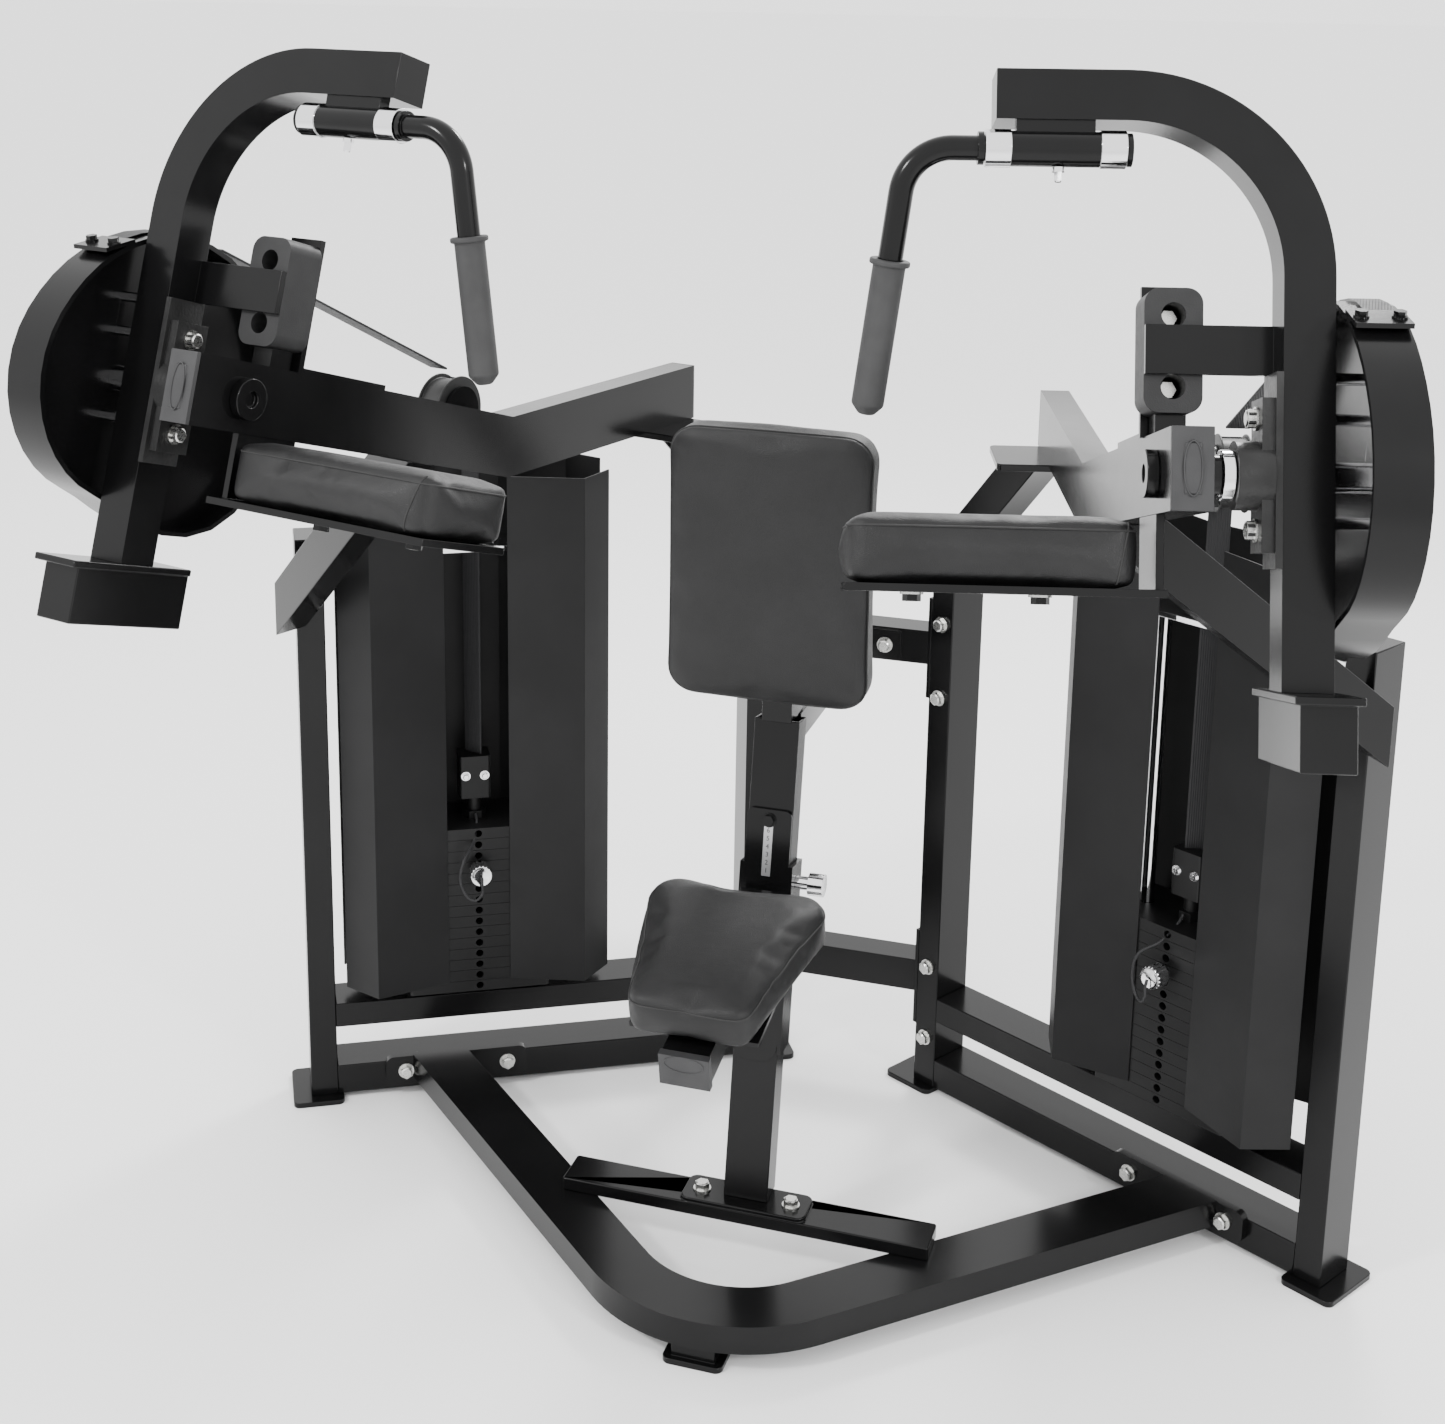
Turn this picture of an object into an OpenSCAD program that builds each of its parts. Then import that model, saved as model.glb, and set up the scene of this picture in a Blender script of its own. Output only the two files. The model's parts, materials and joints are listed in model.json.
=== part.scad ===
// Independent-arm strength machine with two weight stacks, elbow pads and swinging handles.
// X right, +Y to the rear, Z up, millimetres. Each side is built once and mirrored.

/* [Towers] */
// Angle of each tower in plan
tower_yaw = 30; // [20:1:40]
// Width of the tower uprights
tube_w = 40; // [30:1:50]
// Depth of the tower uprights and rails
tube_d = 68; // [60:1:76]
// Wall of every steel tube
wall = 3; // [2:0.5:4]
// Distance from the machine's centre to the middle of the tower tubes
tower_c = 483; // [470:1:520]
// Inner face of the front upright along the tower
front_u = 545; // [530:1:600]
// Inner face of the rear upright along the tower
rear_u = -82; // [-110:1:-70]
// Height of the front upright
front_h = 880; // [840:5:900]
// Height of the rear upright below its slanted top
rear_h = 850; // [800:5:870]
// Thickness of the foot plates
foot_t = 8; // [5:1:12]
// Height of the lower rail
lower_rail_h = 46; // [40:1:60]
// Underside of the upper rail
upper_rail_z = 118; // [100:1:130]
// Height of the upper rail
upper_rail_h = 38; // [30:1:50]

/* [Beams] */
// Angle of each beam and boom in plan
beam_yaw = 15; // [10:1:20]
// Rise of the boom towards its front end
boom_rise = 17; // [14:1:20]
// Width of the beam tube
beam_w = 40; // [34:1:44]
// Height of the beam tube
beam_h = 80; // [70:1:90]
// Inner face of the beam from the centre
beam_e = 371; // [365:1:380]
// Underside of the level part of the beam
beam_z = 1018; // [1010:1:1030]
// Length of the level part behind the machine's middle
beam_rear = 385; // [350:5:420]
// Front end of the boom
boom_b = 953.5; // [940:0.5:960]
// Underside of the boom in its own frame
boom_n = 954; // [944:1:964]

/* [Pivot] */
// Position of the arm axis along the boom
axis_b = 876; // [866:1:886]
// Height of the arm axis in the boom frame
axis_n = 993; // [985:1:1000]
// Radius of the fixed arm shaft
shaft_r = 15; // [12:0.5:18]
// Radial clearance of the arm bearings
run_clear = 0.05; // [0.02:0.01:0.1]
// Gap between the shaft collar and the bearing
side_gap = 0.5; // [0.3:0.1:2]

/* [Arms] */
// Side of the square arm tube
arm_w = 50; // [44:1:52]
// Inner face of the arm tube from the centre
arm_e = 487; // [484:1:500]
// Back face of the arm tube along the boom
arm_b = 854; // [850:1:860]
// Lower end of the arm
arm_low_n = 785; // [770:1:800]
// Start of the top bend
arm_bend_n = 1186; // [1170:1:1200]
// Inner radius of the top bend
arm_bend_r = 150; // [130:5:160]
// Inner end of the top run
arm_end_e = 214; // [208:1:230]
// Length of the counterweight
weight_l = 172; // [140:1:200]
// Height of the counterweight
weight_h = 64; // [50:1:80]
// Smallest radius of the cam
cam_r = 142; // [130:1:150]
// Growth of the cam radius at its rear
cam_grow = 104; // [80:1:110]
// Width of the cam rim
cam_w = 54; // [44:1:60]

/* [Handles] */
// Radius of the handle bar
bar_r = 12.5; // [10:0.5:14]
// Height of the sleeve axis in the arm frame
sleeve_n = 1308.5; // [1300:0.5:1312]
// Position of the sleeve axis along the boom
sleeve_b = 893; // [880:1:896]
// Bend radius of the handle bar
bar_bend = 50; // [40:1:60]
// Length of the bar below its bend, down to the grip
bar_drop = 68; // [60:1:80]
// Length of the grip
grip_l = 159; // [130:1:170]
// Radius of the grip
grip_r = 16.5; // [15:0.5:20]
// Inward splay of the hanging handle
splay = 7; // [0:1:12]

/* [Pads] */
// Length of each elbow pad
pad_l = 288; // [240:1:290]
// Depth of each elbow pad
pad_d = 155; // [130:1:170]
// Thickness of the elbow pads
pad_t = 68; // [50:1:70]
// Width of the backrest
back_w = 274; // [240:1:300]
// Height of the backrest
back_h = 366; // [320:1:400]
// Thickness of the backrest
back_t = 50; // [40:1:60]
// Width of the seat at its rear
seat_w = 250; // [220:1:270]
// Width of the seat at its front
seat_nose_w = 150; // [120:1:180]
// Length of the seat
seat_l = 256; // [230:1:280]
// Thickness of the seat
seat_t = 60; // [45:1:65]

/* [Seat post] */
// Lean of the seat post
post_lean = 9.7; // [6:0.1:12]
// Width of the seat post
post_w = 60; // [50:1:66]
// Depth of the seat post
post_d = 40; // [30:1:50]
// Length of the seat post
post_l = 640; // [600:5:680]

/* [Front frame] */
// Width of the front frame tube
nose_w = 80; // [70:1:90]
// Height of the front frame tube
nose_h = 38; // [30:1:44]
// Underside of the front frame
nose_z = 30; // [26:1:36]
// Inner radius of the nose bend
nose_r = 140; // [120:1:150]
// Angle of the front frame's legs from the X axis
leg_a = 43.3; // [41:0.1:46]

/* [Weight stack] */
// Number of weight plates in a stack
plates = 15; // [10:1:16]
// Number of plates above the selector pin
lifted = 4; // [1:1:8]
// Thickness of a weight plate
plate_t = 17; // [14:0.5:17]
// Gap between two weight plates
plate_gap = 0.5; // [0.3:0.1:1]
// Width of a weight plate
plate_w = 210; // [190:1:220]
// Depth of a weight plate
plate_d = 106; // [90:1:108]
// Middle of the stack along the tower
stack_u = 330; // [325:1:335]
// Radius of the guide rods
rod_r = 9.5; // [8:0.5:12]
// Distance between the guide rods
rod_gap = 144; // [120:1:150]
// Radius of the redirect pulley
pulley_r = 45; // [35:1:50]
// Width of the belt
belt_w = 30; // [25:1:34]
// Thickness of the belt
belt_t = 3; // [2:0.5:4]

/* [Hidden] */
$fn = 48;

e = 0.01;
centre_y = -12.3;
tube_c = tower_c - tube_d / 2;
post_y = -57.7;
post_z = nose_z + nose_h + 24;
flange_t = 6;
front_flange_c = tube_c - 2 * flange_t;

// Level-beam coordinates of a point given along and across the boom.
function boom_e2(b, n) = b * cos(boom_rise) - n * sin(boom_rise);
function boom_z(b, n) = b * sin(boom_rise) + n * cos(boom_rise);
// Place along the boom where its face at height n reaches level z.
function boom_at_z(n, z) = (z - n * cos(boom_rise)) / sin(boom_rise);

axis_e2 = boom_e2(axis_b, axis_n);
axis_z = boom_z(axis_b, axis_n);
sleeve_e2 = boom_e2(sleeve_b, sleeve_n);
sleeve_z = boom_z(sleeve_b, sleeve_n);
sleeve_e = 198;
sleeve_l = 137;

// The stack's middle seen from the beam frame, where the belt has to come down.
stack_x = stack_u * cos(tower_yaw) + tower_c * sin(tower_yaw);
stack_y = tower_c * cos(tower_yaw) - stack_u * sin(tower_yaw);
belt_e = stack_x * cos(beam_yaw) + stack_y * sin(beam_yaw);
drop_e2 = stack_x * sin(beam_yaw) - stack_y * cos(beam_yaw);
pulley_e2 = drop_e2 + pulley_r + belt_t / 2;
belt_slope = 26.6;
belt_top_e2 = 385;
belt_top_z = 1337.5;
pulley_z = belt_top_z - (belt_top_e2 - pulley_e2) * tan(belt_slope)
    - (pulley_r + belt_t / 2) / cos(belt_slope);
stack_z = upper_rail_z + upper_rail_h + 12;
pitch = plate_t + plate_gap;
pin_z = stack_z + (plates - lifted) * pitch + plate_t / 2;
top_z = stack_z + plates * pitch;
block_z = top_z + 34;
block_h = 66;
cam_e = arm_e + arm_w + 5;

module side(s) translate([0, -centre_y, 0]) { if (s > 0) children(); else mirror([1, 0, 0]) children(); }
module middle() translate([0, -centre_y, 0]) children();
// Frame of a tower: along it, away from the centre, up.
module tower(s) side(s) rotate([0, 0, -tower_yaw]) children();
// Frame of a level beam: outwards along the arm axis, to the rear, up.
module level(s) side(s) rotate([0, 0, beam_yaw]) children();
// Frame of a boom: outwards along the arm axis, back down the boom, square to the boom.
module boom(s) level(s) rotate([-boom_rise, 0, 0]) children();
// Box given by its low corner along e1, b and n in the boom frame.
module boom_box(e1, b, n, size) translate([e1, -b - size[1], n]) cube(size);
// Cylinder along e1 in the boom frame.
module axis_rod(e1, l, r, b = axis_b, n = axis_n)
    translate([e1, -b, n]) rotate([0, 90, 0]) cylinder(h = l, r = r);

module rounded(w, h, r) {
    square([w - 2 * r, h], center = true);
    square([w, h - 2 * r], center = true);
    for (x = [-1, 1], y = [-1, 1]) translate([x * (w / 2 - r), y * (h / 2 - r)]) circle(r);
}
// Open square tube standing on its end.
module tube(w, d, l) difference() {
    cube([w, d, l]);
    translate([wall, wall, -1]) cube([w - 2 * wall, d - 2 * wall, l + 2]);
}
// Hexagon-headed bolt along +Z: washer, then head.
module bolt(r = 6) {
    cylinder(h = 2, r = 1.9 * r);
    translate([0, 0, 2]) cylinder(h = 1.2 * r, r = 1.6 * r, $fn = 6);
}
// Bolt whose head points against the local depth axis.
module side_bolt(r = 6) rotate([90, 0, 0]) bolt(r);

module front_upright(s) color("dimgray") tower(s) translate([front_u, tube_c, foot_t]) {
    tube(tube_w, tube_d, front_h - foot_t - wall);
    translate([0, 0, front_h - foot_t - wall]) cube([tube_w, tube_d, wall]);
}

// The slanted top leans in under the beam.
lean_u = 114;
lean_low = 838;
lean_high = beam_z - 4 - flange_t;
module rear_outline(inset) {
    lo = rear_u - tube_w + inset;
    hi = rear_u - inset;
    polygon([[lo, foot_t], [hi, foot_t], [hi, rear_h - 12 + inset / 2],
        [hi + lean_u + 22, lean_high], [lo + lean_u, lean_high], [lo, rear_h + 16 + inset / 2]]);
}
module rear_upright(s) color("dimgray") tower(s) {
    difference() {
        translate([0, tube_c + tube_d, 0]) rotate([90, 0, 0]) linear_extrude(tube_d) rear_outline(0);
        translate([0, tube_c + tube_d - wall, 0]) rotate([90, 0, 0])
            linear_extrude(tube_d - 2 * wall) rear_outline(wall);
    }
    // Diamond plate between the slanted top and the beam.
    translate([rear_u + 105, tube_c + tube_d / 2, lean_high]) rotate([0, 0, tower_yaw + beam_yaw])
        linear_extrude(beam_z - lean_high) rounded(112, 118, 8);
}

module tower_rails(s) color("dimgray") tower(s) {
    for (r = [[foot_t, lower_rail_h], [upper_rail_z, upper_rail_h]])
        translate([rear_u, tube_c, r[0]]) rotate([0, 90, 0]) mirror([1, 0, 0])
            tube(r[1], tube_d, front_u - rear_u);
}

module front_brace(s) color("dimgray") side(s) difference() {
    translate([445, -152, 1078]) rotate([0, 0, 39.8]) rotate([0, 37.5, 0])
        translate([-60, -20, -31]) difference() {
            cube([620, 40, 62]);
            translate([-1, wall, wall]) cube([622, 40 - 2 * wall, 62 - 2 * wall]);
        }
    rotate([0, 0, -tower_yaw]) translate([front_u - 300, tube_c, 0]) cube([700, 400, 1200]);
    rotate([0, 0, beam_yaw]) rotate([-boom_rise, 0, 0])
        translate([beam_e - 300, -boom_b, boom_n]) cube([300 + beam_w, boom_b, 400]);
    rotate([0, 0, beam_yaw]) rotate([-boom_rise, 0, 0])
        translate([beam_e - 300, -boom_b, boom_n]) cube([300, boom_b, 400]);
}

module beam_outline(inset, over) {
    low = boom_n + inset;
    high = boom_n + beam_h - inset;
    z0 = beam_z + inset;
    z1 = beam_z + beam_h - inset;
    f = boom_b + over;
    k0 = boom_at_z(low, z0);
    k1 = boom_at_z(high, z1);
    polygon([[beam_rear + over, z0], [beam_rear + over, z1], [-boom_e2(k1, high), z1],
        [-boom_e2(f, high), boom_z(f, high)], [-boom_e2(f, low), boom_z(f, low)],
        [-boom_e2(k0, low), z0]]);
}
doubler_t = 6;
module beam(s) color("dimgray") {
    difference() {
        level(s) difference() {
            translate([beam_e, 0, 0]) rotate([90, 0, 90]) linear_extrude(beam_w) beam_outline(0, 0);
            translate([beam_e + wall, 0, 0]) rotate([90, 0, 90]) linear_extrude(beam_w - 2 * wall)
                beam_outline(wall, 1);
        }
        boom(s) axis_rod(beam_e - 20, beam_w + 40, shaft_r);
    }
    boom(s) boom_box(beam_e, 640, boom_n + beam_h, [beam_w, 150, doubler_t]);
}

module foot_plates() color("black") {
    for (s = [-1, 1]) tower(s) {
        translate([front_u + tube_w / 2 + 9, tower_c, 0]) linear_extrude(foot_t) rounded(76, 106, 10);
        translate([rear_u - tube_w / 2 - 22, tower_c, 0]) linear_extrude(foot_t) rounded(86, 100, 10);
    }
    middle() translate([0, -286, 0]) {
        linear_extrude(foot_t) rounded(78, 52, 10);
        translate([-28, -18, foot_t]) cube([56, 36, nose_z - foot_t]);
    }
}

nose_cy = -94;
module frame_profile(inset) translate([nose_r + inset, nose_z + inset])
    square([nose_w - 2 * inset, nose_h - 2 * inset]);
module frame_sweep(inset, over) translate([0, nose_cy, 0]) {
    rotate([0, 0, 270 - (90 - leg_a)]) rotate_extrude(angle = 180 - 2 * leg_a) frame_profile(inset);
    for (m = [0, 1]) mirror([m, 0, 0]) rotate([0, 0, leg_a - 90]) rotate([90, 0, 180])
        linear_extrude(700) translate([-2 * (nose_r + inset) - (nose_w - 2 * inset), 0])
            frame_profile(inset);
}
module front_frame() color("dimgray") {
    difference() {
        middle() difference() { frame_sweep(0, 0); frame_sweep(wall, 1); }
        for (s = [-1, 1]) tower(s) translate([-400, front_flange_c, -10]) cube([1400, 600, 200]);
    }
    for (s = [-1, 1]) tower(s) translate([0, front_flange_c + flange_t, 0]) rotate([90, 0, 0])
        for (k = [0, 1]) translate([366, 43, -k * flange_t]) linear_extrude(flange_t) rounded(214, 46, 12);
}

module stabilizer() color("dimgray") middle() {
    translate([0, -70, nose_z + nose_h]) linear_extrude(18) rounded(500, 59, 4);
    translate([0, -70, nose_z + nose_h + 18]) linear_extrude(6) rounded(170, 58, 12);
}

module post_frame() middle() translate([0, post_y, post_z]) rotate([-post_lean, 0, 0]) children();
module seat_post() color("dimgray") difference() {
    post_frame() translate([-post_w / 2, -post_d / 2, -40]) tube(post_w, post_d, post_l + 40);
    middle() translate([-200, -200, post_z - 200]) cube([400, 400, 200]);
}

bar_z = [678, 152];
module cross_members() color("dimgray") {
    for (z = bar_z) difference() {
        middle() translate([-200, 454, z]) rotate([90, 0, 90]) tube(50, 51, 400);
        for (s = [-1, 1]) tower(s) translate([rear_u - tube_w - flange_t, 0, z - 100]) cube([600, 900, 300]);
    }
    for (s = [-1, 1], z = bar_z) tower(s)
        translate([rear_u - tube_w - flange_t, tube_c, z - 51]) cube([flange_t, tube_d, 154]);
    // Strut that carries the post and the backrest from the upper bar.
    middle() {
        translate([0, 454, bar_z[0] + 25.5]) rotate([90, 0, 0]) linear_extrude(flange_t)
            rounded(150, 46, 8);
        difference() {
            translate([-22, -100, bar_z[0] + 5]) rotate([-90, 0, 0]) mirror([0, 1, 0])
                tube(44, 40, 554 - flange_t);
            translate([0, post_y, post_z]) rotate([-post_lean, 0, 0])
                translate([-100, -400, -100]) cube([200, 400 + post_d / 2, 900]);
        }
    }
}

back_y = -40;
back_z = 765;
module backrest_bracket() color("dimgray") difference() {
    middle() union() {
        translate([0, back_y + back_t + 12 + 6, back_z + 150]) rotate([90, 0, 0])
            linear_extrude(6) rounded(120, 260, 10);
        translate([-20, back_y + back_t + 18, 705]) cube([40, 60, 250]);
    }
    post_frame() translate([-post_w / 2, -post_d / 2, -40]) cube([post_w, post_d, post_l + 40]);
    middle() translate([-30, back_y + back_t + 18, 600]) cube([60, 300, bar_z[0] + 45.1 - 600]);
}
module backrest_pad() color("black") middle() {
    translate([0, back_y + back_t, back_z + back_h / 2]) rotate([90, 0, 0])
        linear_extrude(back_t) rounded(back_w, back_h, 42);
    translate([0, back_y + back_t + 12, back_z + back_h / 2]) rotate([90, 0, 0])
        linear_extrude(12) rounded(back_w - 14, back_h - 14, 36);
}

pad_gap = 17;
pad_e = beam_e + 1 - pad_gap - pad_l;
pad_b = 750;
pad_n = boom_n - 6 - pad_t;
module arm_pad(s) color("black") boom(s) difference() {
    boom_box(pad_e, pad_b, pad_n, [pad_l, pad_d, pad_t]);
    for (p = [[0, 0], [1, 0], [0, 1], [1, 1]])
        translate([pad_e + p[0] * pad_l, -pad_b - p[1] * pad_d, pad_n - 1]) linear_extrude(pad_t + 2)
            mirror([p[0], 0]) mirror([0, 1 - p[1]]) difference() {
                translate([-1, -1]) square(25);
                translate([24, 24]) circle(24);
            }
}
strap_e = beam_e + 1;
module pad_bracket(s) color("black") boom(s) {
    boom_box(pad_e + 3, pad_b + 6, pad_n - 8, [strap_e + 8 - pad_e - 3, pad_d - 12, 8]);
    boom_box(strap_e, pad_b + 30, pad_n, [8, pad_d - 60, boom_n - pad_n]);
    for (p = [[266, 832], [139, 824]]) translate([p[0], -p[1], pad_n - 8]) mirror([0, 0, 1]) bolt(6);
}

bumper_n = 1055;
bumper_h = 125;
bumper_gap = 0.4;
stop_n = 1093;
stop_h = 49;
module bumper(s) color("black") boom(s) difference() {
    translate([beam_e - 9 + 29, -arm_b + bumper_gap, bumper_n + bumper_h / 2]) rotate([-90, 0, 0])
        linear_extrude(arm_b - bumper_gap - 800) rounded(58, bumper_h, 16);
    for (n = [1081, 1153]) translate([beam_e + 20, -790, n]) rotate([90, 0, 0]) cylinder(h = 80, r = 12);
}
module bumper_brackets() color("dimgray") for (s = [-1, 1]) boom(s) {
    boom_box(beam_e - 3, 792, boom_n + beam_h, [46, 8, 154]);
    boom_box(beam_e + 5, 806, boom_n + beam_h, [28, 34, bumper_n - boom_n - beam_h]);
    for (n = [1081, 1153]) translate([beam_e + 20, -800, n]) rotate([90, 0, 0]) {
        cylinder(h = 14, r = 8);
        translate([0, 0, 14]) cylinder(h = 8, r = 9, $fn = 6);
    }
}

collar_e = 432;
bearing_e = 445;
module pivot_shaft(s) color("silver") boom(s) {
    axis_rod(beam_e, cam_e + 40 - beam_e, shaft_r);
    difference() { axis_rod(beam_e - 12, 12, 24); axis_rod(beam_e - 13, 6, 9); }
    difference() {
        union() {
            axis_rod(beam_e + beam_w, collar_e - beam_e - beam_w, shaft_r + 5);
            axis_rod(collar_e, bearing_e - side_gap - collar_e, shaft_r + 10);
        }
        axis_rod(beam_e, 200, shaft_r - 1);
    }
}

shroud_low = 185;
shroud_high = 966;
shroud_gap_u = 2 * stack_u - 376;
module shroud_sheet() linear_extrude(shroud_high - shroud_low)
    polygon([[376, 428], [484, 397], [528, 446], [526, 448], [483.3, 399.4], [376.6, 430]]);
module shrouds(s) color("gray") tower(s) translate([0, 0, shroud_low])
    for (front = [0, 1], near = [0, 1])
        translate([front ? 0 : 2 * stack_u, near ? 0 : 2 * tower_c, 0])
            mirror([front ? 0 : 1, 0, 0]) mirror([0, near ? 0 : 1, 0]) shroud_sheet();
// Sheet that closes the gap between the two rear shrouds.
module back_sheet(s) color("gray") tower(s) translate([shroud_gap_u - 1.2, 2 * tower_c - 429, shroud_low])
    cube([2 * (stack_u - shroud_gap_u) + 2.4, 2, shroud_high - shroud_low]);

module plate_row(from, to) difference() {
    for (k = [from : to]) translate([stack_u, tower_c, stack_z + k * pitch]) linear_extrude(plate_t)
        rounded(plate_w, plate_d, 5);
    for (x = [-1, 1]) translate([stack_u + x * rod_gap / 2, tower_c, stack_z - 1])
        cylinder(h = plates * pitch + 2, r = rod_r + 1);
    translate([stack_u, tower_c, stack_z - 1]) cylinder(h = plates * pitch + 2, r = 14);
    for (k = [from : to]) translate([stack_u, tower_c, stack_z + k * pitch + plate_t / 2])
        rotate([90, 0, 0]) cylinder(h = plate_d, r = 5.5);
}
module stack_base(s) color("dimgray") tower(s) {
    plate_row(0, plates - lifted - 1);
    for (x = [-1, 1]) translate([stack_u + x * rod_gap / 2, tower_c, upper_rail_z + upper_rail_h])
        difference() {
            cylinder(h = 12, r = 20);
            translate([0, 0, -1]) cylinder(h = 14, r = rod_r);
        }
}
rod_top = 850;
module guide_rods(s) color("silver") tower(s) {
    for (x = [-1, 1]) translate([stack_u + x * rod_gap / 2, tower_c, upper_rail_z + upper_rail_h])
        cylinder(h = rod_top - upper_rail_z - upper_rail_h, r = rod_r);
    difference() {
        translate([stack_u - 95, tube_c, rod_top]) cube([front_u - stack_u + 95, tube_d, 8]);
        translate([stack_u - 30, tower_c - 24, rod_top - 1]) cube([60, 48, 10]);
    }
}
module stack_top(s) color("dimgray") tower(s) {
    plate_row(plates - lifted, plates - 1);
    translate([stack_u, tower_c, stack_z + 8]) cylinder(h = top_z - stack_z - 8 - plate_gap, r = 11);
    translate([stack_u, tower_c, top_z - plate_gap]) cylinder(h = block_z - top_z + plate_gap, r = 11);
    translate([stack_u, tower_c, top_z - plate_gap]) cylinder(h = 12, r = 18, $fn = 6);
    translate([stack_u, tower_c, block_z + block_h / 2]) linear_extrude(block_h, center = true)
        rounded(46, 40, 4);
}
module selector_pin(s) color("silver") tower(s) translate([stack_u, tower_c - 14.5, pin_z]) rotate([90, 0, 0]) {
    cylinder(h = plate_d / 2 - 14.5 + 22, r = 5);
    translate([0, 0, plate_d / 2 - 14.5 + 12]) cylinder(h = 24, r = 17);
    translate([0, 0, plate_d / 2 - 14.5 + 36]) cylinder(h = 3, r1 = 17, r2 = 14);
}

bracket_e = belt_e - belt_w / 2 - 10;
module pulley_bracket(s) color("dimgray") level(s) {
    translate([beam_e + beam_w, -pulley_e2 - 25, beam_z + 8]) difference() {
        cube([bracket_e - beam_e - beam_w, 50, 30]);
        translate([-1, wall, wall]) cube([400, 50 - 2 * wall, 30 - 2 * wall]);
    }
    for (x = [bracket_e, bracket_e + belt_w + 15]) translate([x, -pulley_e2, pulley_z])
        rotate([90, 0, 90]) linear_extrude(5) difference() {
            union() {
                circle(36);
                translate([-36, beam_z + 8 - pulley_z]) square([72, pulley_z - beam_z - 8]);
            }
            circle(8);
        }
    translate([bracket_e - 8, -pulley_e2, pulley_z]) rotate([0, 90, 0]) {
        cylinder(h = belt_w + 36, r = 8);
        cylinder(h = 8, r = 13, $fn = 6);
        translate([0, 0, belt_w + 28]) cylinder(h = 8, r = 13, $fn = 6);
    }
}
module pulley(s) color("black") level(s) translate([bracket_e + 6, -pulley_e2, pulley_z])
    rotate([0, 90, 0]) difference() {
        union() {
            cylinder(h = belt_w + 8, r = pulley_r - 1);
            cylinder(h = 2.5, r = pulley_r + 5);
            translate([0, 0, belt_w + 5.5]) cylinder(h = 2.5, r = pulley_r + 5);
        }
        translate([0, 0, -1]) cylinder(h = belt_w + 20, r = 8 + run_clear);
    }

// Straight belt from the cam's top down to the pulley, and the drop to the stack.
run_l = (belt_top_e2 - pulley_e2) / cos(belt_slope) - (pulley_r + belt_t / 2) * tan(belt_slope);
module belt_run(s) color("black") level(s)
    translate([belt_e - belt_w / 2, -belt_top_e2, belt_top_z]) rotate([-belt_slope, 0, 0])
        cube([belt_w, run_l, belt_t]);
module belt_drop(s) color("black") level(s)
    translate([belt_e - belt_w / 2, -drop_e2 - belt_t / 2, block_z + block_h])
        cube([belt_w, belt_t, pulley_z - 4 - block_z - block_h]);

module frame_bolts() color("silver") {
    for (s = [-1, 1]) tower(s) {
        for (u = [289, 443]) translate([u, front_flange_c, 43]) side_bolt(6);
        for (z = [85, 202, 633, 746])
            translate([rear_u - tube_w / 2, tube_c, z]) side_bolt(6);
    }
    middle() {
        for (x = [-61, 61]) translate([x, -72, post_z]) bolt(6);
        for (x = [-51, 51]) translate([x, 454 - flange_t, bar_z[0] + 25.5]) side_bolt(6);
    }
}
module end_caps() color("gray") for (s = [-1, 1]) {
    boom(s) {
        boom_box(beam_e, boom_b, boom_n, [beam_w, 6, beam_h]);
        boom_box(beam_e + 12, boom_b + 6, boom_n + 16, [16, 1.5, beam_h - 32]);
    }
    level(s) translate([beam_e, beam_rear, beam_z]) cube([beam_w, 5, beam_h]);
}

module arm_outline(inset, over) {
    bend_e = arm_e - arm_bend_r;
    translate([arm_e + inset, arm_low_n - over])
        square([arm_w - 2 * inset, arm_bend_n - arm_low_n + over]);
    translate([arm_end_e - over, arm_bend_n + arm_bend_r + inset])
        square([bend_e - arm_end_e + over, arm_w - 2 * inset]);
    intersection() {
        translate([bend_e, arm_bend_n]) difference() {
            circle(arm_bend_r + arm_w - inset, $fn = 96);
            circle(arm_bend_r + inset, $fn = 96);
        }
        translate([bend_e, arm_bend_n]) square(arm_bend_r + arm_w + 10);
    }
}
module arm_body(s) {
    difference() {
        union() {
            difference() {
                translate([0, -arm_b, 0]) rotate([90, 0, 0]) linear_extrude(arm_w) arm_outline(0, 0);
                translate([0, -arm_b - wall, 0]) rotate([90, 0, 0])
                    linear_extrude(arm_w - 2 * wall) arm_outline(wall, 1);
            }
            axis_rod(arm_e, arm_w, shaft_r + 7);
        }
        axis_rod(arm_e - 1, arm_w + 2, shaft_r + run_clear);
    }
    // Cap at the end of the top run.
    boom_box(arm_end_e - 6, arm_b, arm_bend_n + arm_bend_r, [6, arm_w, arm_w]);
    // Stop bar that rests on the bumper.
    boom_box(beam_e - 9, arm_b, stop_n, [arm_e - beam_e + 9, 8, stop_h]);
    // Sleeve that carries the handle.
    difference() {
        union() {
            axis_rod(sleeve_e, sleeve_l, bar_r + 5, sleeve_b, sleeve_n);
            for (x = [0, sleeve_l - 25]) axis_rod(sleeve_e + x, 25, bar_r + 6.5, sleeve_b, sleeve_n);
            boom_box(sleeve_e + 30, sleeve_b - 8, sleeve_n,
                [sleeve_l - 60, 16, arm_bend_n + arm_bend_r - sleeve_n]);
        }
        axis_rod(sleeve_e - 1, sleeve_l + 2, bar_r + run_clear, sleeve_b, sleeve_n);
    }
}
module arm(s) color("dimgray") boom(s) arm_body(s);
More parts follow.
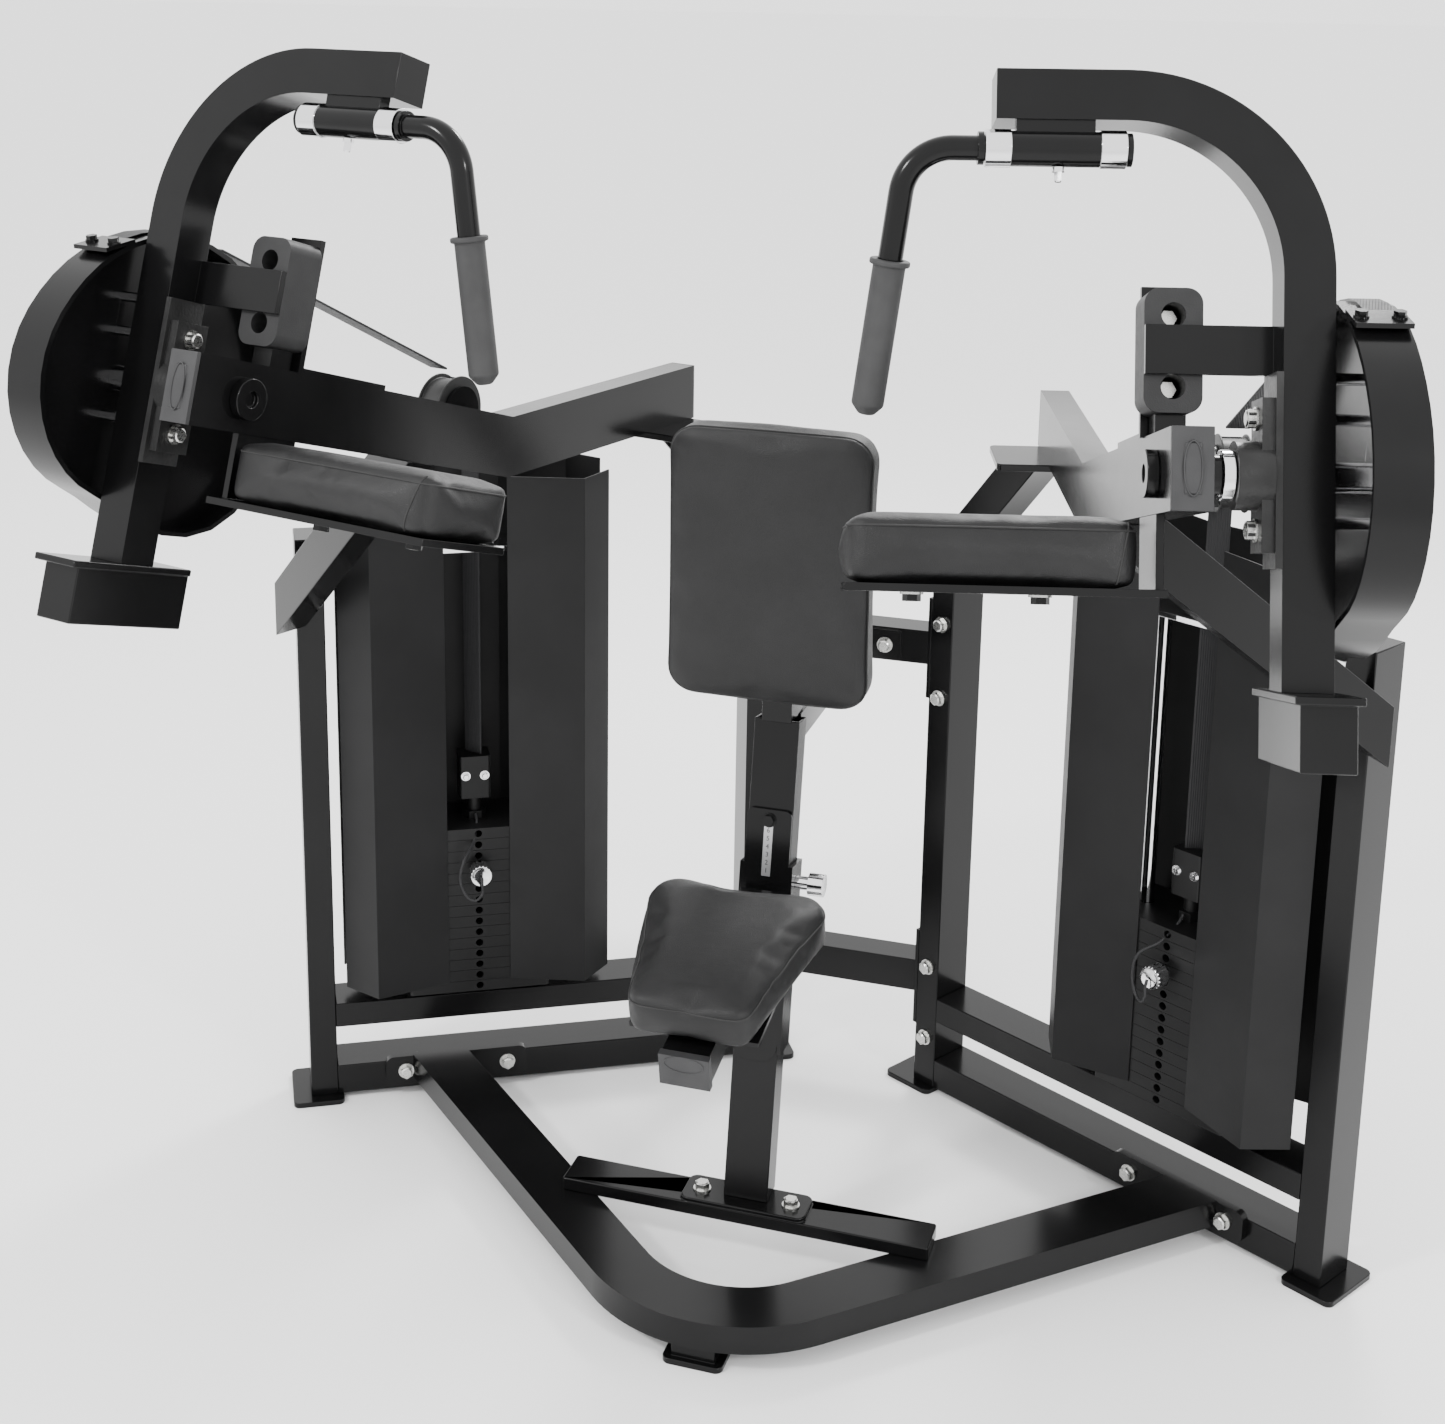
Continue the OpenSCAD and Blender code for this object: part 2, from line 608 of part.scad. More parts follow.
module bearing(s) color("gray") boom(s) difference() {
    union() {
        axis_rod(bearing_e, arm_e - 7 - bearing_e, 34);
        boom_box(arm_e - 7, arm_b - 2, axis_n - 90, [7, 54, 190]);
        boom_box(arm_e - 19, axis_b - 24, axis_n - 75, [12, 48, 150]);
        for (n = [axis_n - 53, axis_n + 56]) translate([arm_e - 19, -axis_b, n]) rotate([0, -90, 0]) bolt(6);
    }
    axis_rod(bearing_e - 1, arm_e - bearing_e + 2, shaft_r + run_clear);
}

// The cam grows to the rear as a smooth spiral and drops back underneath.
function cam_radius(a) = cam_r + cam_grow / 2
    * (a <= 205 ? 1 - cos(a - 25) : a <= 285 ? 1 + cos((a - 205) * 180 / 80) : 0);
function cam_points(inset) = [for (a = [25 : 10 : 375]) let (r = cam_radius(a) - inset)
    [axis_b + r * cos(a), axis_n + r * sin(a)]];
module cam(s) color("dimgray") boom(s) {
    difference() {
        union() {
            translate([cam_e, 0, 0]) difference() {
                cam_solid(0, cam_w);
                translate([-1, 0, 0]) cam_solid(6, cam_w + 2);
            }
            translate([cam_e + 30, 0, 0]) cam_solid(5, 6);
            axis_rod(cam_e + 36, 10, 28);
        }
        axis_rod(cam_e, 90, shaft_r + run_clear);
    }
    for (p = [[axis_b + 14, axis_n + 95], [axis_b + 14, axis_n + 55], [axis_b + 14, axis_n - 45]])
        axis_rod(arm_e + arm_w, cam_e + 30 - arm_e - arm_w, 6, p[0], p[1]);
    // Belt clamp on the rim.
    translate([cam_e, -axis_b - cam_radius(71) * cos(71), axis_n + cam_radius(71) * sin(71)])
        rotate([24, 0, 0]) {
            translate([0, -30, 0]) cube([cam_w, 44, 5]);
            for (x = [9, cam_w - 9]) translate([x, -10, 5]) bolt(4);
        }
    // Belt lying on the rim between the clamp and the point where it leaves.
    translate([belt_e - belt_w / 2, 0, 0]) difference() {
        intersection() {
            cam_solid(-belt_t, belt_w);
            translate([0, -axis_b, axis_n]) rotate([90, 0, 90]) linear_extrude(belt_w)
                polygon([[0, 0], for (a = [76 : 6 : 112]) 400 * [-cos(a), sin(a)]]);
        }
        translate([-1, 0, 0]) cam_solid(0, belt_w + 2);
    }
}
module cam_solid(inset, l) rotate([90, 0, 90]) linear_extrude(l)
    polygon([for (p = cam_points(inset)) [-p[0], p[1]]]);

module counterweight(s) color("dimgray") boom(s) {
    boom_box(arm_e - 4, arm_b - 59, arm_low_n - 8, [65, 181, 8]);
    boom_box(arm_e + 4, arm_b - 64, arm_low_n - 8 - weight_h, [arm_w + 3, weight_l, weight_h]);
}

// The bar runs out of the sleeve, bends down and hangs.
bend_e = 167.4;
module handle_bar(s) color("silver") level(s) translate([0, -sleeve_e2, sleeve_z]) {
    translate([bend_e, 0, 0]) rotate([0, 90, 0]) cylinder(h = sleeve_e + sleeve_l + 4 - bend_e, r = bar_r);
    translate([sleeve_e + sleeve_l + 1, 0, 0]) rotate([0, 90, 0]) cylinder(h = 5, r = bar_r + 4);
    translate([sleeve_e - 7, 0, 0]) rotate([0, 90, 0]) cylinder(h = 6, r = bar_r + 4);
    translate([bend_e, 0, -bar_bend]) rotate([90, 0, 0]) rotate([0, 0, 90])
        rotate_extrude(angle = 90 - splay) translate([bar_bend, 0]) circle(bar_r);
    translate([bend_e, 0, -bar_bend]) rotate([0, splay, 0]) translate([-bar_bend, 0, 0])
        mirror([0, 0, 1]) cylinder(h = bar_drop + grip_l - 16, r = bar_r);
}
module grip(s) color("black") level(s) translate([bend_e, -sleeve_e2, sleeve_z - bar_bend])
    rotate([0, splay, 0]) translate([-bar_bend, 0, -bar_drop]) mirror([0, 0, 1]) difference() {
        union() {
            cylinder(h = 6, r = grip_r + 4);
            cylinder(h = grip_l - 10, r = grip_r);
            translate([0, 0, grip_l - 10]) cylinder(h = 10, r1 = grip_r, r2 = 8);
        }
        translate([0, 0, -1]) cylinder(h = grip_l - 15, r = bar_r);
    }

seat_slope = 11.1;
seat_y = -222;
seat_z = 480;
slide_gap = 0.5;
module seat_carriage() color("dimgray") {
    post_frame() {
        // Sleeve round the post.
        difference() {
            translate([-post_w / 2 - slide_gap - 5, -post_d / 2 - slide_gap - 5, 330])
                cube([post_w + 2 * slide_gap + 10, post_d + 2 * slide_gap + 10, 120]);
            translate([-post_w / 2 - slide_gap, -post_d / 2 - slide_gap, 0])
                cube([post_w + 2 * slide_gap, post_d + 2 * slide_gap, post_l]);
        }
        // Number plate rising above the sleeve, and side cheeks reaching down.
        translate([0, -post_d / 2 - slide_gap, 478]) rotate([90, 0, 0]) linear_extrude(5) rounded(60, 88, 9);
        translate([0, -post_d / 2 - slide_gap, 262]) rotate([90, 0, 0]) linear_extrude(5)
            rounded(60, 150, 22);
        for (x = [-1, 1]) translate([x * (post_w / 2 + slide_gap + 2.5) - 2.5, -post_d / 2 - slide_gap - 5, 200])
            cube([5, post_d + 5, 131]);
        for (x = [-1, 1]) translate([x * (post_w / 2 + slide_gap / 2) - 0.5, -post_d / 2 - slide_gap - 5, 210])
            cube([1, 5, 120]);
        translate([0, -post_d / 2 - slide_gap - 5, 214]) rotate([90, 0, 0]) bolt(5);
        translate([0, -post_d / 2 - slide_gap - 5, 508]) rotate([90, 0, 0]) bolt(5);
        // Pull pin on the right-hand side.
        translate([post_w / 2 + slide_gap + 5, 0, 425]) rotate([0, 90, 0]) {
            cylinder(h = 18, r = 9);
            translate([0, 0, 18]) cylinder(h = 20, r = 15);
        }
    }
    // Arm under the seat, running forward from the sleeve.
    difference() {
        middle() translate([0, seat_y, seat_z]) rotate([seat_slope, 0, 0]) {
            translate([-29, -seat_l / 2 - 2, -48]) cube([58, seat_l / 2 + 202, 40]);
            translate([-80, -100, -8]) cube([160, 190, 6]);
            // Cap in the tube's front end.
            translate([-31, -seat_l / 2 - 12, -50]) cube([62, 10, 43]);
        }
        post_frame() translate([-post_w / 2 - slide_gap - 5, -post_d / 2 - slide_gap - 5, 0])
            cube([post_w + 2 * slide_gap + 10, 400, post_l]);
    }
}
// Outline of the seat's right-hand half: sloping side between two rounded corners.
seat_side = atan((seat_w - seat_nose_w) / 2 / seat_l);
function seat_corner(y, r, a0, a1) = [for (k = [0 : 6]) let (a = a0 + (a1 - a0) * k / 6)
    [(seat_w + seat_nose_w) / 4 + y * tan(seat_side) - r / cos(seat_side) + r * cos(a), y + r * sin(a)]];
seat_half = concat(seat_corner(24 - seat_l / 2, 24, -90, -seat_side),
    seat_corner(seat_l / 2 - 40, 40, -seat_side, 90));
module seat_pad() color("black") middle() translate([0, seat_y, seat_z]) rotate([seat_slope, 0, 0])
    translate([0, 0, -2 + slide_gap]) linear_extrude(seat_t) {
        polygon(concat(seat_half, [for (i = [len(seat_half) - 1 : -1 : 0]) [-seat_half[i][0], seat_half[i][1]]]));
    }

front_upright(-1);  // front_upright_left
front_upright(1);  // front_upright_right
rear_upright(-1);  // rear_upright_left
rear_upright(1);  // rear_upright_right
tower_rails(-1);  // tower_rails_left
tower_rails(1);  // tower_rails_right
front_brace(-1);  // front_brace_left
front_brace(1);  // front_brace_right
beam(-1);  // beam_left
beam(1);  // beam_right
foot_plates();
front_frame();
stabilizer();
seat_post();
cross_members();
backrest_bracket();
backrest_pad();
arm_pad(-1);  // arm_pad_left
arm_pad(1);  // arm_pad_right
pad_bracket(-1);  // pad_bracket_left
pad_bracket(1);  // pad_bracket_right
bumper(-1);  // bumper_left
bumper(1);  // bumper_right
bumper_brackets();
pivot_shaft(-1);  // pivot_shaft_left
pivot_shaft(1);  // pivot_shaft_right
union() { shrouds(-1); back_sheet(-1); }  // shrouds_left
union() { shrouds(1); back_sheet(1); }  // shrouds_right
stack_base(-1);  // stack_base_left
stack_base(1);  // stack_base_right
guide_rods(-1);  // guide_rods_left
guide_rods(1);  // guide_rods_right
pulley_bracket(-1);  // pulley_bracket_left
pulley_bracket(1);  // pulley_bracket_right
belt_run(-1);  // belt_run_left
belt_run(1);  // belt_run_right
belt_drop(-1);  // belt_drop_left
belt_drop(1);  // belt_drop_right
frame_bolts();
end_caps();
arm(-1);  // arm_left
arm(1);  // arm_right
bearing(-1);  // bearing_left
bearing(1);  // bearing_right
cam(-1);  // cam_left
cam(1);  // cam_right
counterweight(-1);  // counterweight_left
counterweight(1);  // counterweight_right
handle_bar(-1);  // handle_bar_left
handle_bar(1);  // handle_bar_right
grip(-1);  // grip_left
grip(1);  // grip_right
stack_top(-1);  // stack_top_left
stack_top(1);  // stack_top_right
selector_pin(-1);  // selector_pin_left
selector_pin(1);  // selector_pin_right
pulley(-1);  // pulley_left
pulley(1);  // pulley_right
seat_carriage();
seat_pad();
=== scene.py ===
import bmesh
import bpy
import json
import math
from mathutils import Matrix, Vector
from mathutils.bvhtree import BVHTree


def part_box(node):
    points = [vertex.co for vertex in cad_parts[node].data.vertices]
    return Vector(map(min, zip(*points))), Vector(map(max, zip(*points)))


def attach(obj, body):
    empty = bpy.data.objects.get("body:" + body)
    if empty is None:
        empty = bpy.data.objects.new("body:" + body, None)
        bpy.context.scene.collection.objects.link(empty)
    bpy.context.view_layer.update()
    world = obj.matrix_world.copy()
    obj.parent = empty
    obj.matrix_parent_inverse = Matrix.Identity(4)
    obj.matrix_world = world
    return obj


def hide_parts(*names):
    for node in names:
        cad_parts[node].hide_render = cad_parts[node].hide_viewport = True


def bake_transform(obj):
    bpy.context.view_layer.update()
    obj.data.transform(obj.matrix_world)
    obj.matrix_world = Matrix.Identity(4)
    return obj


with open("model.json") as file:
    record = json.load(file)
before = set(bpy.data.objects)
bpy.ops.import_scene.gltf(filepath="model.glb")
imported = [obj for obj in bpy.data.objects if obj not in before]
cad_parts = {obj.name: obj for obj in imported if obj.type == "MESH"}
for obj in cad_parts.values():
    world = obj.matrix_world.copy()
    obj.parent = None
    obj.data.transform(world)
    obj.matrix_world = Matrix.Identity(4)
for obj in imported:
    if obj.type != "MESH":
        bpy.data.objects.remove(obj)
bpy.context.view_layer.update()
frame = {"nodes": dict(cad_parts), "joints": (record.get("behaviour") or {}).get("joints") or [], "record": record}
nodes = frame["nodes"]
record = frame["record"]
bodyOf = {n: b for b, members in record["behaviour"]["bodies"].items() for n in members}
joints = {j["name"]: j for j in frame["joints"]}
print("frame loaded", len(nodes), "nodes")


def newMaterial(name, colour, roughness, metallic=0.0, specular=0.3):
    mat = bpy.data.materials.new(name)
    mat.use_nodes = True
    shader = mat.node_tree.nodes["Principled BSDF"]
    shader.inputs["Base Color"].default_value = (*colour, 1)
    shader.inputs["Roughness"].default_value = roughness
    shader.inputs["Metallic"].default_value = metallic
    shader.inputs["Specular IOR Level"].default_value = specular
    return mat, mat.node_tree, shader


def objectCoords(tree, scale=(1, 1, 1)):
    coords = tree.nodes.new("ShaderNodeTexCoord")
    mapping = tree.nodes.new("ShaderNodeMapping")
    mapping.inputs["Scale"].default_value = scale
    tree.links.new(coords.outputs["Object"], mapping.inputs["Vector"])
    return mapping.outputs["Vector"]


def noise(tree, vector, scale, detail=2, rough=0.5):
    tex = tree.nodes.new("ShaderNodeTexNoise")
    tex.inputs["Scale"].default_value = scale
    tex.inputs["Detail"].default_value = detail
    tex.inputs["Roughness"].default_value = rough
    tree.links.new(vector, tex.inputs["Vector"])
    return tex.outputs["Fac"]


def ramp(tree, fac, stops):
    node = tree.nodes.new("ShaderNodeValToRGB")
    node.color_ramp.elements[0].position = stops[0][0]
    node.color_ramp.elements[0].color = (*stops[0][1], 1)
    node.color_ramp.elements[1].position = stops[1][0]
    node.color_ramp.elements[1].color = (*stops[1][1], 1)
    tree.links.new(fac, node.inputs["Fac"])
    return node.outputs["Color"]


def spread(tree, fac, low, high):
    node = tree.nodes.new("ShaderNodeMapRange")
    node.inputs["To Min"].default_value = low
    node.inputs["To Max"].default_value = high
    tree.links.new(fac, node.inputs["Value"])
    return node.outputs["Result"]


def bump(tree, height, strength, distance):
    node = tree.nodes.new("ShaderNodeBump")
    node.inputs["Strength"].default_value = strength
    node.inputs["Distance"].default_value = distance
    tree.links.new(height, node.inputs["Height"])
    return node.outputs["Normal"]


def paintedSteel(name, dark, light, roughLow, roughHigh, peel, specular):
    mat, tree, shader = newMaterial(name, dark, roughLow, specular=specular)
    vector = objectCoords(tree)
    colour = ramp(tree, noise(tree, vector, 9, 4), [(0.35, dark), (0.75, light)])
    tree.links.new(colour, shader.inputs["Base Color"])
    rough = spread(tree, noise(tree, vector, 26, 5, 0.65), roughLow, roughHigh)
    tree.links.new(rough, shader.inputs["Roughness"])
    tree.links.new(bump(tree, noise(tree, vector, 420, 2), peel, 0.0004), shader.inputs["Normal"])
    return mat


def leatherette():
    mat, tree, shader = newMaterial("blackVinyl", (0.006, 0.006, 0.0062), 0.45)
    vector = objectCoords(tree)
    cells = tree.nodes.new("ShaderNodeTexVoronoi")
    cells.feature = "DISTANCE_TO_EDGE"
    cells.inputs["Scale"].default_value = 520
    tree.links.new(vector, cells.inputs["Vector"])
    creases = tree.nodes.new("ShaderNodeMath")
    creases.operation = "MINIMUM"
    tree.links.new(cells.outputs["Distance"], creases.inputs[0])
    creases.inputs[1].default_value = 0.16
    wrinkle = tree.nodes.new("ShaderNodeMath")
    wrinkle.operation = "MULTIPLY_ADD"
    tree.links.new(noise(tree, vector, 46, 5, 0.6), wrinkle.inputs[0])
    wrinkle.inputs[1].default_value = 0.35
    tree.links.new(creases.outputs[0], wrinkle.inputs[2])
    tree.links.new(bump(tree, wrinkle.outputs[0], 0.55, 0.0012), shader.inputs["Normal"])
    colour = ramp(tree, noise(tree, vector, 14, 3),
                  [(0.3, (0.0045, 0.0045, 0.0047)), (0.8, (0.0085, 0.0085, 0.0088))])
    tree.links.new(colour, shader.inputs["Base Color"])
    tree.links.new(spread(tree, noise(tree, vector, 60, 3), 0.36, 0.52), shader.inputs["Roughness"])
    return mat


def grainedPlastic(name, dark, light, rough, scale, depth):
    mat, tree, shader = newMaterial(name, dark, rough)
    vector = objectCoords(tree)
    colour = ramp(tree, noise(tree, vector, 30, 3), [(0.3, dark), (0.75, light)])
    tree.links.new(colour, shader.inputs["Base Color"])
    worn = spread(tree, noise(tree, vector, 90, 3), rough - 0.07, rough + 0.08)
    tree.links.new(worn, shader.inputs["Roughness"])
    tree.links.new(bump(tree, noise(tree, vector, scale, 2), depth, 0.0006), shader.inputs["Normal"])
    return mat


def brightMetal(name, colour, roughLow, roughHigh, stretch):
    mat, tree, shader = newMaterial(name, colour, roughLow, metallic=1.0)
    vector = objectCoords(tree, stretch)
    streaks = noise(tree, vector, 300, 3)
    tree.links.new(spread(tree, streaks, roughLow, roughHigh), shader.inputs["Roughness"])
    tree.links.new(bump(tree, streaks, 0.08, 0.0002), shader.inputs["Normal"])
    return mat


def ribbedBelt():
    mat, tree, shader = newMaterial("beltRubber", (0.016, 0.016, 0.017), 0.55)
    vector = objectCoords(tree)
    ribs = tree.nodes.new("ShaderNodeTexWave")
    ribs.bands_direction = "X"
    ribs.inputs["Scale"].default_value = 110
    ribs.inputs["Distortion"].default_value = 0.2
    tree.links.new(vector, ribs.inputs["Vector"])
    tree.links.new(bump(tree, ribs.outputs["Fac"], 0.5, 0.0006), shader.inputs["Normal"])
    tree.links.new(spread(tree, noise(tree, vector, 120, 3), 0.45, 0.65), shader.inputs["Roughness"])
    return mat


mats = {
    "frame": paintedSteel("glossBlackPaint", (0.0030, 0.0030, 0.0031), (0.0046, 0.0046, 0.0048),
                          0.16, 0.22, 0.06, 0.2),
    "shroud": paintedSteel("satinShroudPaint", (0.0068, 0.0068, 0.0070), (0.0098, 0.0098, 0.0101),
                           0.40, 0.50, 0.18, 0.18),
    "stack": paintedSteel("plateEnamel", (0.0030, 0.0030, 0.0031), (0.0060, 0.0060, 0.0062),
                          0.34, 0.5, 0.2, 0.25),
    "vinyl": leatherette(),
    "rubber": grainedPlastic("bumperRubber", (0.010, 0.010, 0.0105), (0.017, 0.017, 0.0175),
                             0.50, 700, 0.35),
    "grip": grainedPlastic("gripRubber", (0.026, 0.026, 0.0265), (0.036, 0.036, 0.0365),
                           0.60, 900, 0.4),
    "plastic": grainedPlastic("capPlastic", (0.022, 0.022, 0.023), (0.032, 0.032, 0.033),
                              0.44, 1100, 0.3),
    "wheel": grainedPlastic("wheelNylon", (0.012, 0.012, 0.012), (0.022, 0.022, 0.022),
                            0.4, 600, 0.2),
    "cast": grainedPlastic("paintedCasting", (0.010, 0.010, 0.010), (0.021, 0.021, 0.021),
                           0.36, 260, 0.6),
    "chrome": brightMetal("brightChrome", (0.78, 0.78, 0.79), 0.05, 0.14, (1, 1, 1)),
    "zinc": brightMetal("zincPlate", (0.62, 0.62, 0.60), 0.20, 0.36, (1, 1, 4)),
    "alu": brightMetal("scaleAluminium", (0.55, 0.55, 0.56), 0.30, 0.42, (6, 1, 1)),
    "belt": ribbedBelt(),
    "thread": grainedPlastic("seamThread", (0.012, 0.012, 0.012), (0.02, 0.02, 0.02),
                             0.6, 1500, 0.5),
    "ink": grainedPlastic("scaleInk", (0.01, 0.01, 0.01), (0.015, 0.015, 0.015),
                          0.5, 500, 0.1),
}
print("materials made", len(mats))


def addPiece(name, mesh, body, matKey, smooth=True):
    obj = bpy.data.objects.new(name, mesh)
    bpy.context.scene.collection.objects.link(obj)
    if smooth:
        for poly in mesh.polygons:
            poly.use_smooth = True
    if not mesh.materials:
        mesh.materials.append(mats[matKey])
    if body:
        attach(obj, body)
    return obj


mergeDistance = 0.00002


def evaluatedMesh(obj):
    # Plain mesh of an object with its modifiers worked in.
    dg = bpy.context.evaluated_depsgraph_get()
    return bpy.data.meshes.new_from_object(obj.evaluated_get(dg), depsgraph=dg)


def mergedCopy(nodeName):
    # The part's mesh with double points joined and its flat areas made whole.
    bm = bmesh.new()
    bm.from_mesh(nodes[nodeName].data)
    bmesh.ops.remove_doubles(bm, verts=bm.verts, dist=mergeDistance)
    bmesh.ops.dissolve_limit(bm, angle_limit=math.radians(1.0), verts=bm.verts, edges=bm.edges)
    mesh = bpy.data.meshes.new(nodeName + "Clean")
    bm.to_mesh(mesh)
    bm.free()
    return mesh


edging = {"sharp": math.radians(34), "bevel": math.radians(40), "weight": 80}


def softEdged(nodeName, matKey, width, segments=2, extra=()):
    # A copy of the part with its hard edges rounded, as drawn tube and dressed plate have.
    # Each entry of extra gives a test on a face's centre and the material of its faces.
    mesh = mergedCopy(nodeName)
    mesh.shade_smooth()
    mesh.set_sharp_from_angle(angle=edging["sharp"])
    obj = bpy.data.objects.new(nodeName + ".soft", mesh)
    bpy.context.scene.collection.objects.link(obj)
    bevel = obj.modifiers.new("edge", "BEVEL")
    bevel.width = width
    bevel.segments = segments
    bevel.limit_method = "ANGLE"
    bevel.angle_limit = edging["bevel"]
    bevel.use_clamp_overlap = True
    weighted = obj.modifiers.new("normals", "WEIGHTED_NORMAL")
    weighted.mode = "FACE_AREA"
    weighted.weight = edging["weight"]
    weighted.keep_sharp = True
    final = evaluatedMesh(obj)
    bpy.data.objects.remove(obj)
    final.materials.clear()
    piece = addPiece(nodeName + "Finish", final, bodyOf[nodeName], matKey, smooth=False)
    for test, key in extra:
        final.materials.append(mats[key])
        index = len(final.materials) - 1
        for poly in final.polygons:
            if test(poly.center):
                poly.material_index = index
    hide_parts(nodeName)
    return piece


def tubeAlong(name, points, radius, body, matKey, closed=False, sides=3):
    curve = bpy.data.curves.new(name, "CURVE")
    curve.dimensions = "3D"
    curve.bevel_depth = radius
    curve.bevel_resolution = sides
    curve.resolution_u = 3
    curve.use_fill_caps = not closed
    spline = curve.splines.new("POLY")
    spline.points.add(len(points) - 1)
    for p, co in zip(spline.points, points):
        p.co = (*co, 1)
    spline.use_cyclic_u = closed
    obj = bpy.data.objects.new(name, curve)
    bpy.context.scene.collection.objects.link(obj)
    mesh = evaluatedMesh(obj)
    bpy.data.objects.remove(obj)
    return addPiece(name, mesh, body, matKey)


def surfaceTree(piece):
    # For finding where a line meets the piece's skin.
    bm = bmesh.new()
    bm.from_mesh(piece.data)
    tree = BVHTree.FromBMesh(bm)
    bm.free()
    return tree


def meshFrom(name, verts, faces):
    mesh = bpy.data.meshes.new(name)
    mesh.from_pydata([tuple(v) for v in verts], [], faces)
    bm = bmesh.new()
    bm.from_mesh(mesh)
    bmesh.ops.recalc_face_normals(bm, faces=bm.faces)
    bm.to_mesh(mesh)
    bm.free()
    return mesh


def middleOf(points):
    points = list(points)
    return sum(points, Vector()) / len(points)


def leaning(degrees):
    # Directions along and square to a line that rises by the angle towards the back.
    angle = math.radians(degrees)
    return (Vector((0, math.cos(angle), math.sin(angle))),
            Vector((0, -math.sin(angle), math.cos(angle))))


boomRise = math.radians(17)
# Where the arm axis crosses the cam, in millimetres in the boom's own frame.
axisPlace = {"e": 512, "b": 876, "n": 993}


def boomAxes(sign):
    # The boom's frame: outwards along the arm axis (e), along the boom (b), square to both (n).
    joint = joints["arm_right_swing" if sign > 0 else "arm_left_swing"]
    out = Vector(joint["axis"]) * sign
    ahead = Vector((0, 0, 1)).cross(out) * -sign
    along = ahead * math.cos(boomRise) + Vector((0, 0, math.sin(boomRise)))
    square = -ahead * math.sin(boomRise) + Vector((0, 0, math.cos(boomRise)))
    return Vector(joint["pos_m"]), out, along, square


def boomPoint(sign, e, b, n):
    # From millimetres in the boom's frame to metres in the frame of the whole.
    origin, out, along, square = boomAxes(sign)
    return (origin + out * (e - axisPlace["e"]) / 1000 + along * (b - axisPlace["b"]) / 1000
            + square * (n - axisPlace["n"]) / 1000)


def boomCoords(sign, point):
    origin, out, along, square = boomAxes(sign)
    offset = point - origin
    return (offset.dot(out) * 1000 + axisPlace["e"], offset.dot(along) * 1000 + axisPlace["b"],
            offset.dot(square) * 1000 + axisPlace["n"])


sides = (("left", -1), ("right", 1))


# How far each kind of edge is rounded.
steelwork = {"tubeEdge": 0.0035, "plateEdge": 0.0015, "castEdge": 0.003, "rubberEdge": 0.005,
             "gripEdge": 0.0025, "capEdge": 0.0025, "stackEdge": 0.0012, "turnedEdge": 0.001,
             "rodEdge": 0.0008, "sheetEdge": 0.0006, "beltEdge": 0.0006}


def makeSteelwork():
    for name, _ in sides:
        for part in ("front_upright", "rear_upright", "tower_rails", "front_brace", "beam"):
            softEdged(f"{part}_{name}", "frame", steelwork["tubeEdge"])
        for part in ("pad_bracket", "pulley_bracket", "counterweight"):
            softEdged(f"{part}_{name}", "frame", steelwork["plateEdge"])
        softEdged(f"shrouds_{name}", "shroud", steelwork["sheetEdge"], 1)
        softEdged(f"bearing_{name}", "cast", steelwork["castEdge"], 3)
        softEdged(f"bumper_{name}", "rubber", steelwork["rubberEdge"], 4)
        softEdged(f"grip_{name}", "grip", steelwork["gripEdge"], 3)
        softEdged(f"pulley_{name}", "wheel", steelwork["turnedEdge"])
        softEdged(f"stack_base_{name}", "stack", steelwork["stackEdge"], 1)
        softEdged(f"stack_top_{name}", "stack", steelwork["stackEdge"], 1)
    for part in ("front_frame", "seat_post", "cross_members"):
        softEdged(part, "frame", steelwork["tubeEdge"])
    for part in ("foot_plates", "stabilizer", "backrest_bracket"):
        softEdged(part, "frame", steelwork["plateEdge"])
    softEdged("end_caps", "plastic", steelwork["capEdge"], 3)


# Places on the arm in millimetres in the boom's frame, and angles in degrees about its axis.
sleeve = {"b": 893, "n": 1308.5, "radius": 19.6, "collars": ((197, 223.2), (309.8, 336)),
          "top": 1330}
shaftEnd = 431.5
cam = {"radius": 142, "growth": 52, "turned": 25, "beltFrom": 75.5, "beltTo": 112.5,
       "beltSides": (559, 591), "beltRise": 0.6}
camRods = {"b": 890, "heights": (95, 55, -45), "radius": 7.5, "ends": (537.5, 571.5)}
beltClamp = {"from": 900, "to": 960, "above": 1151, "clear": 169, "bolts": (551, 587),
             "radius": 8.2}
bumperBolts = {"behind": 800.5, "e": 391, "heights": (1081, 1153), "radius": 10}


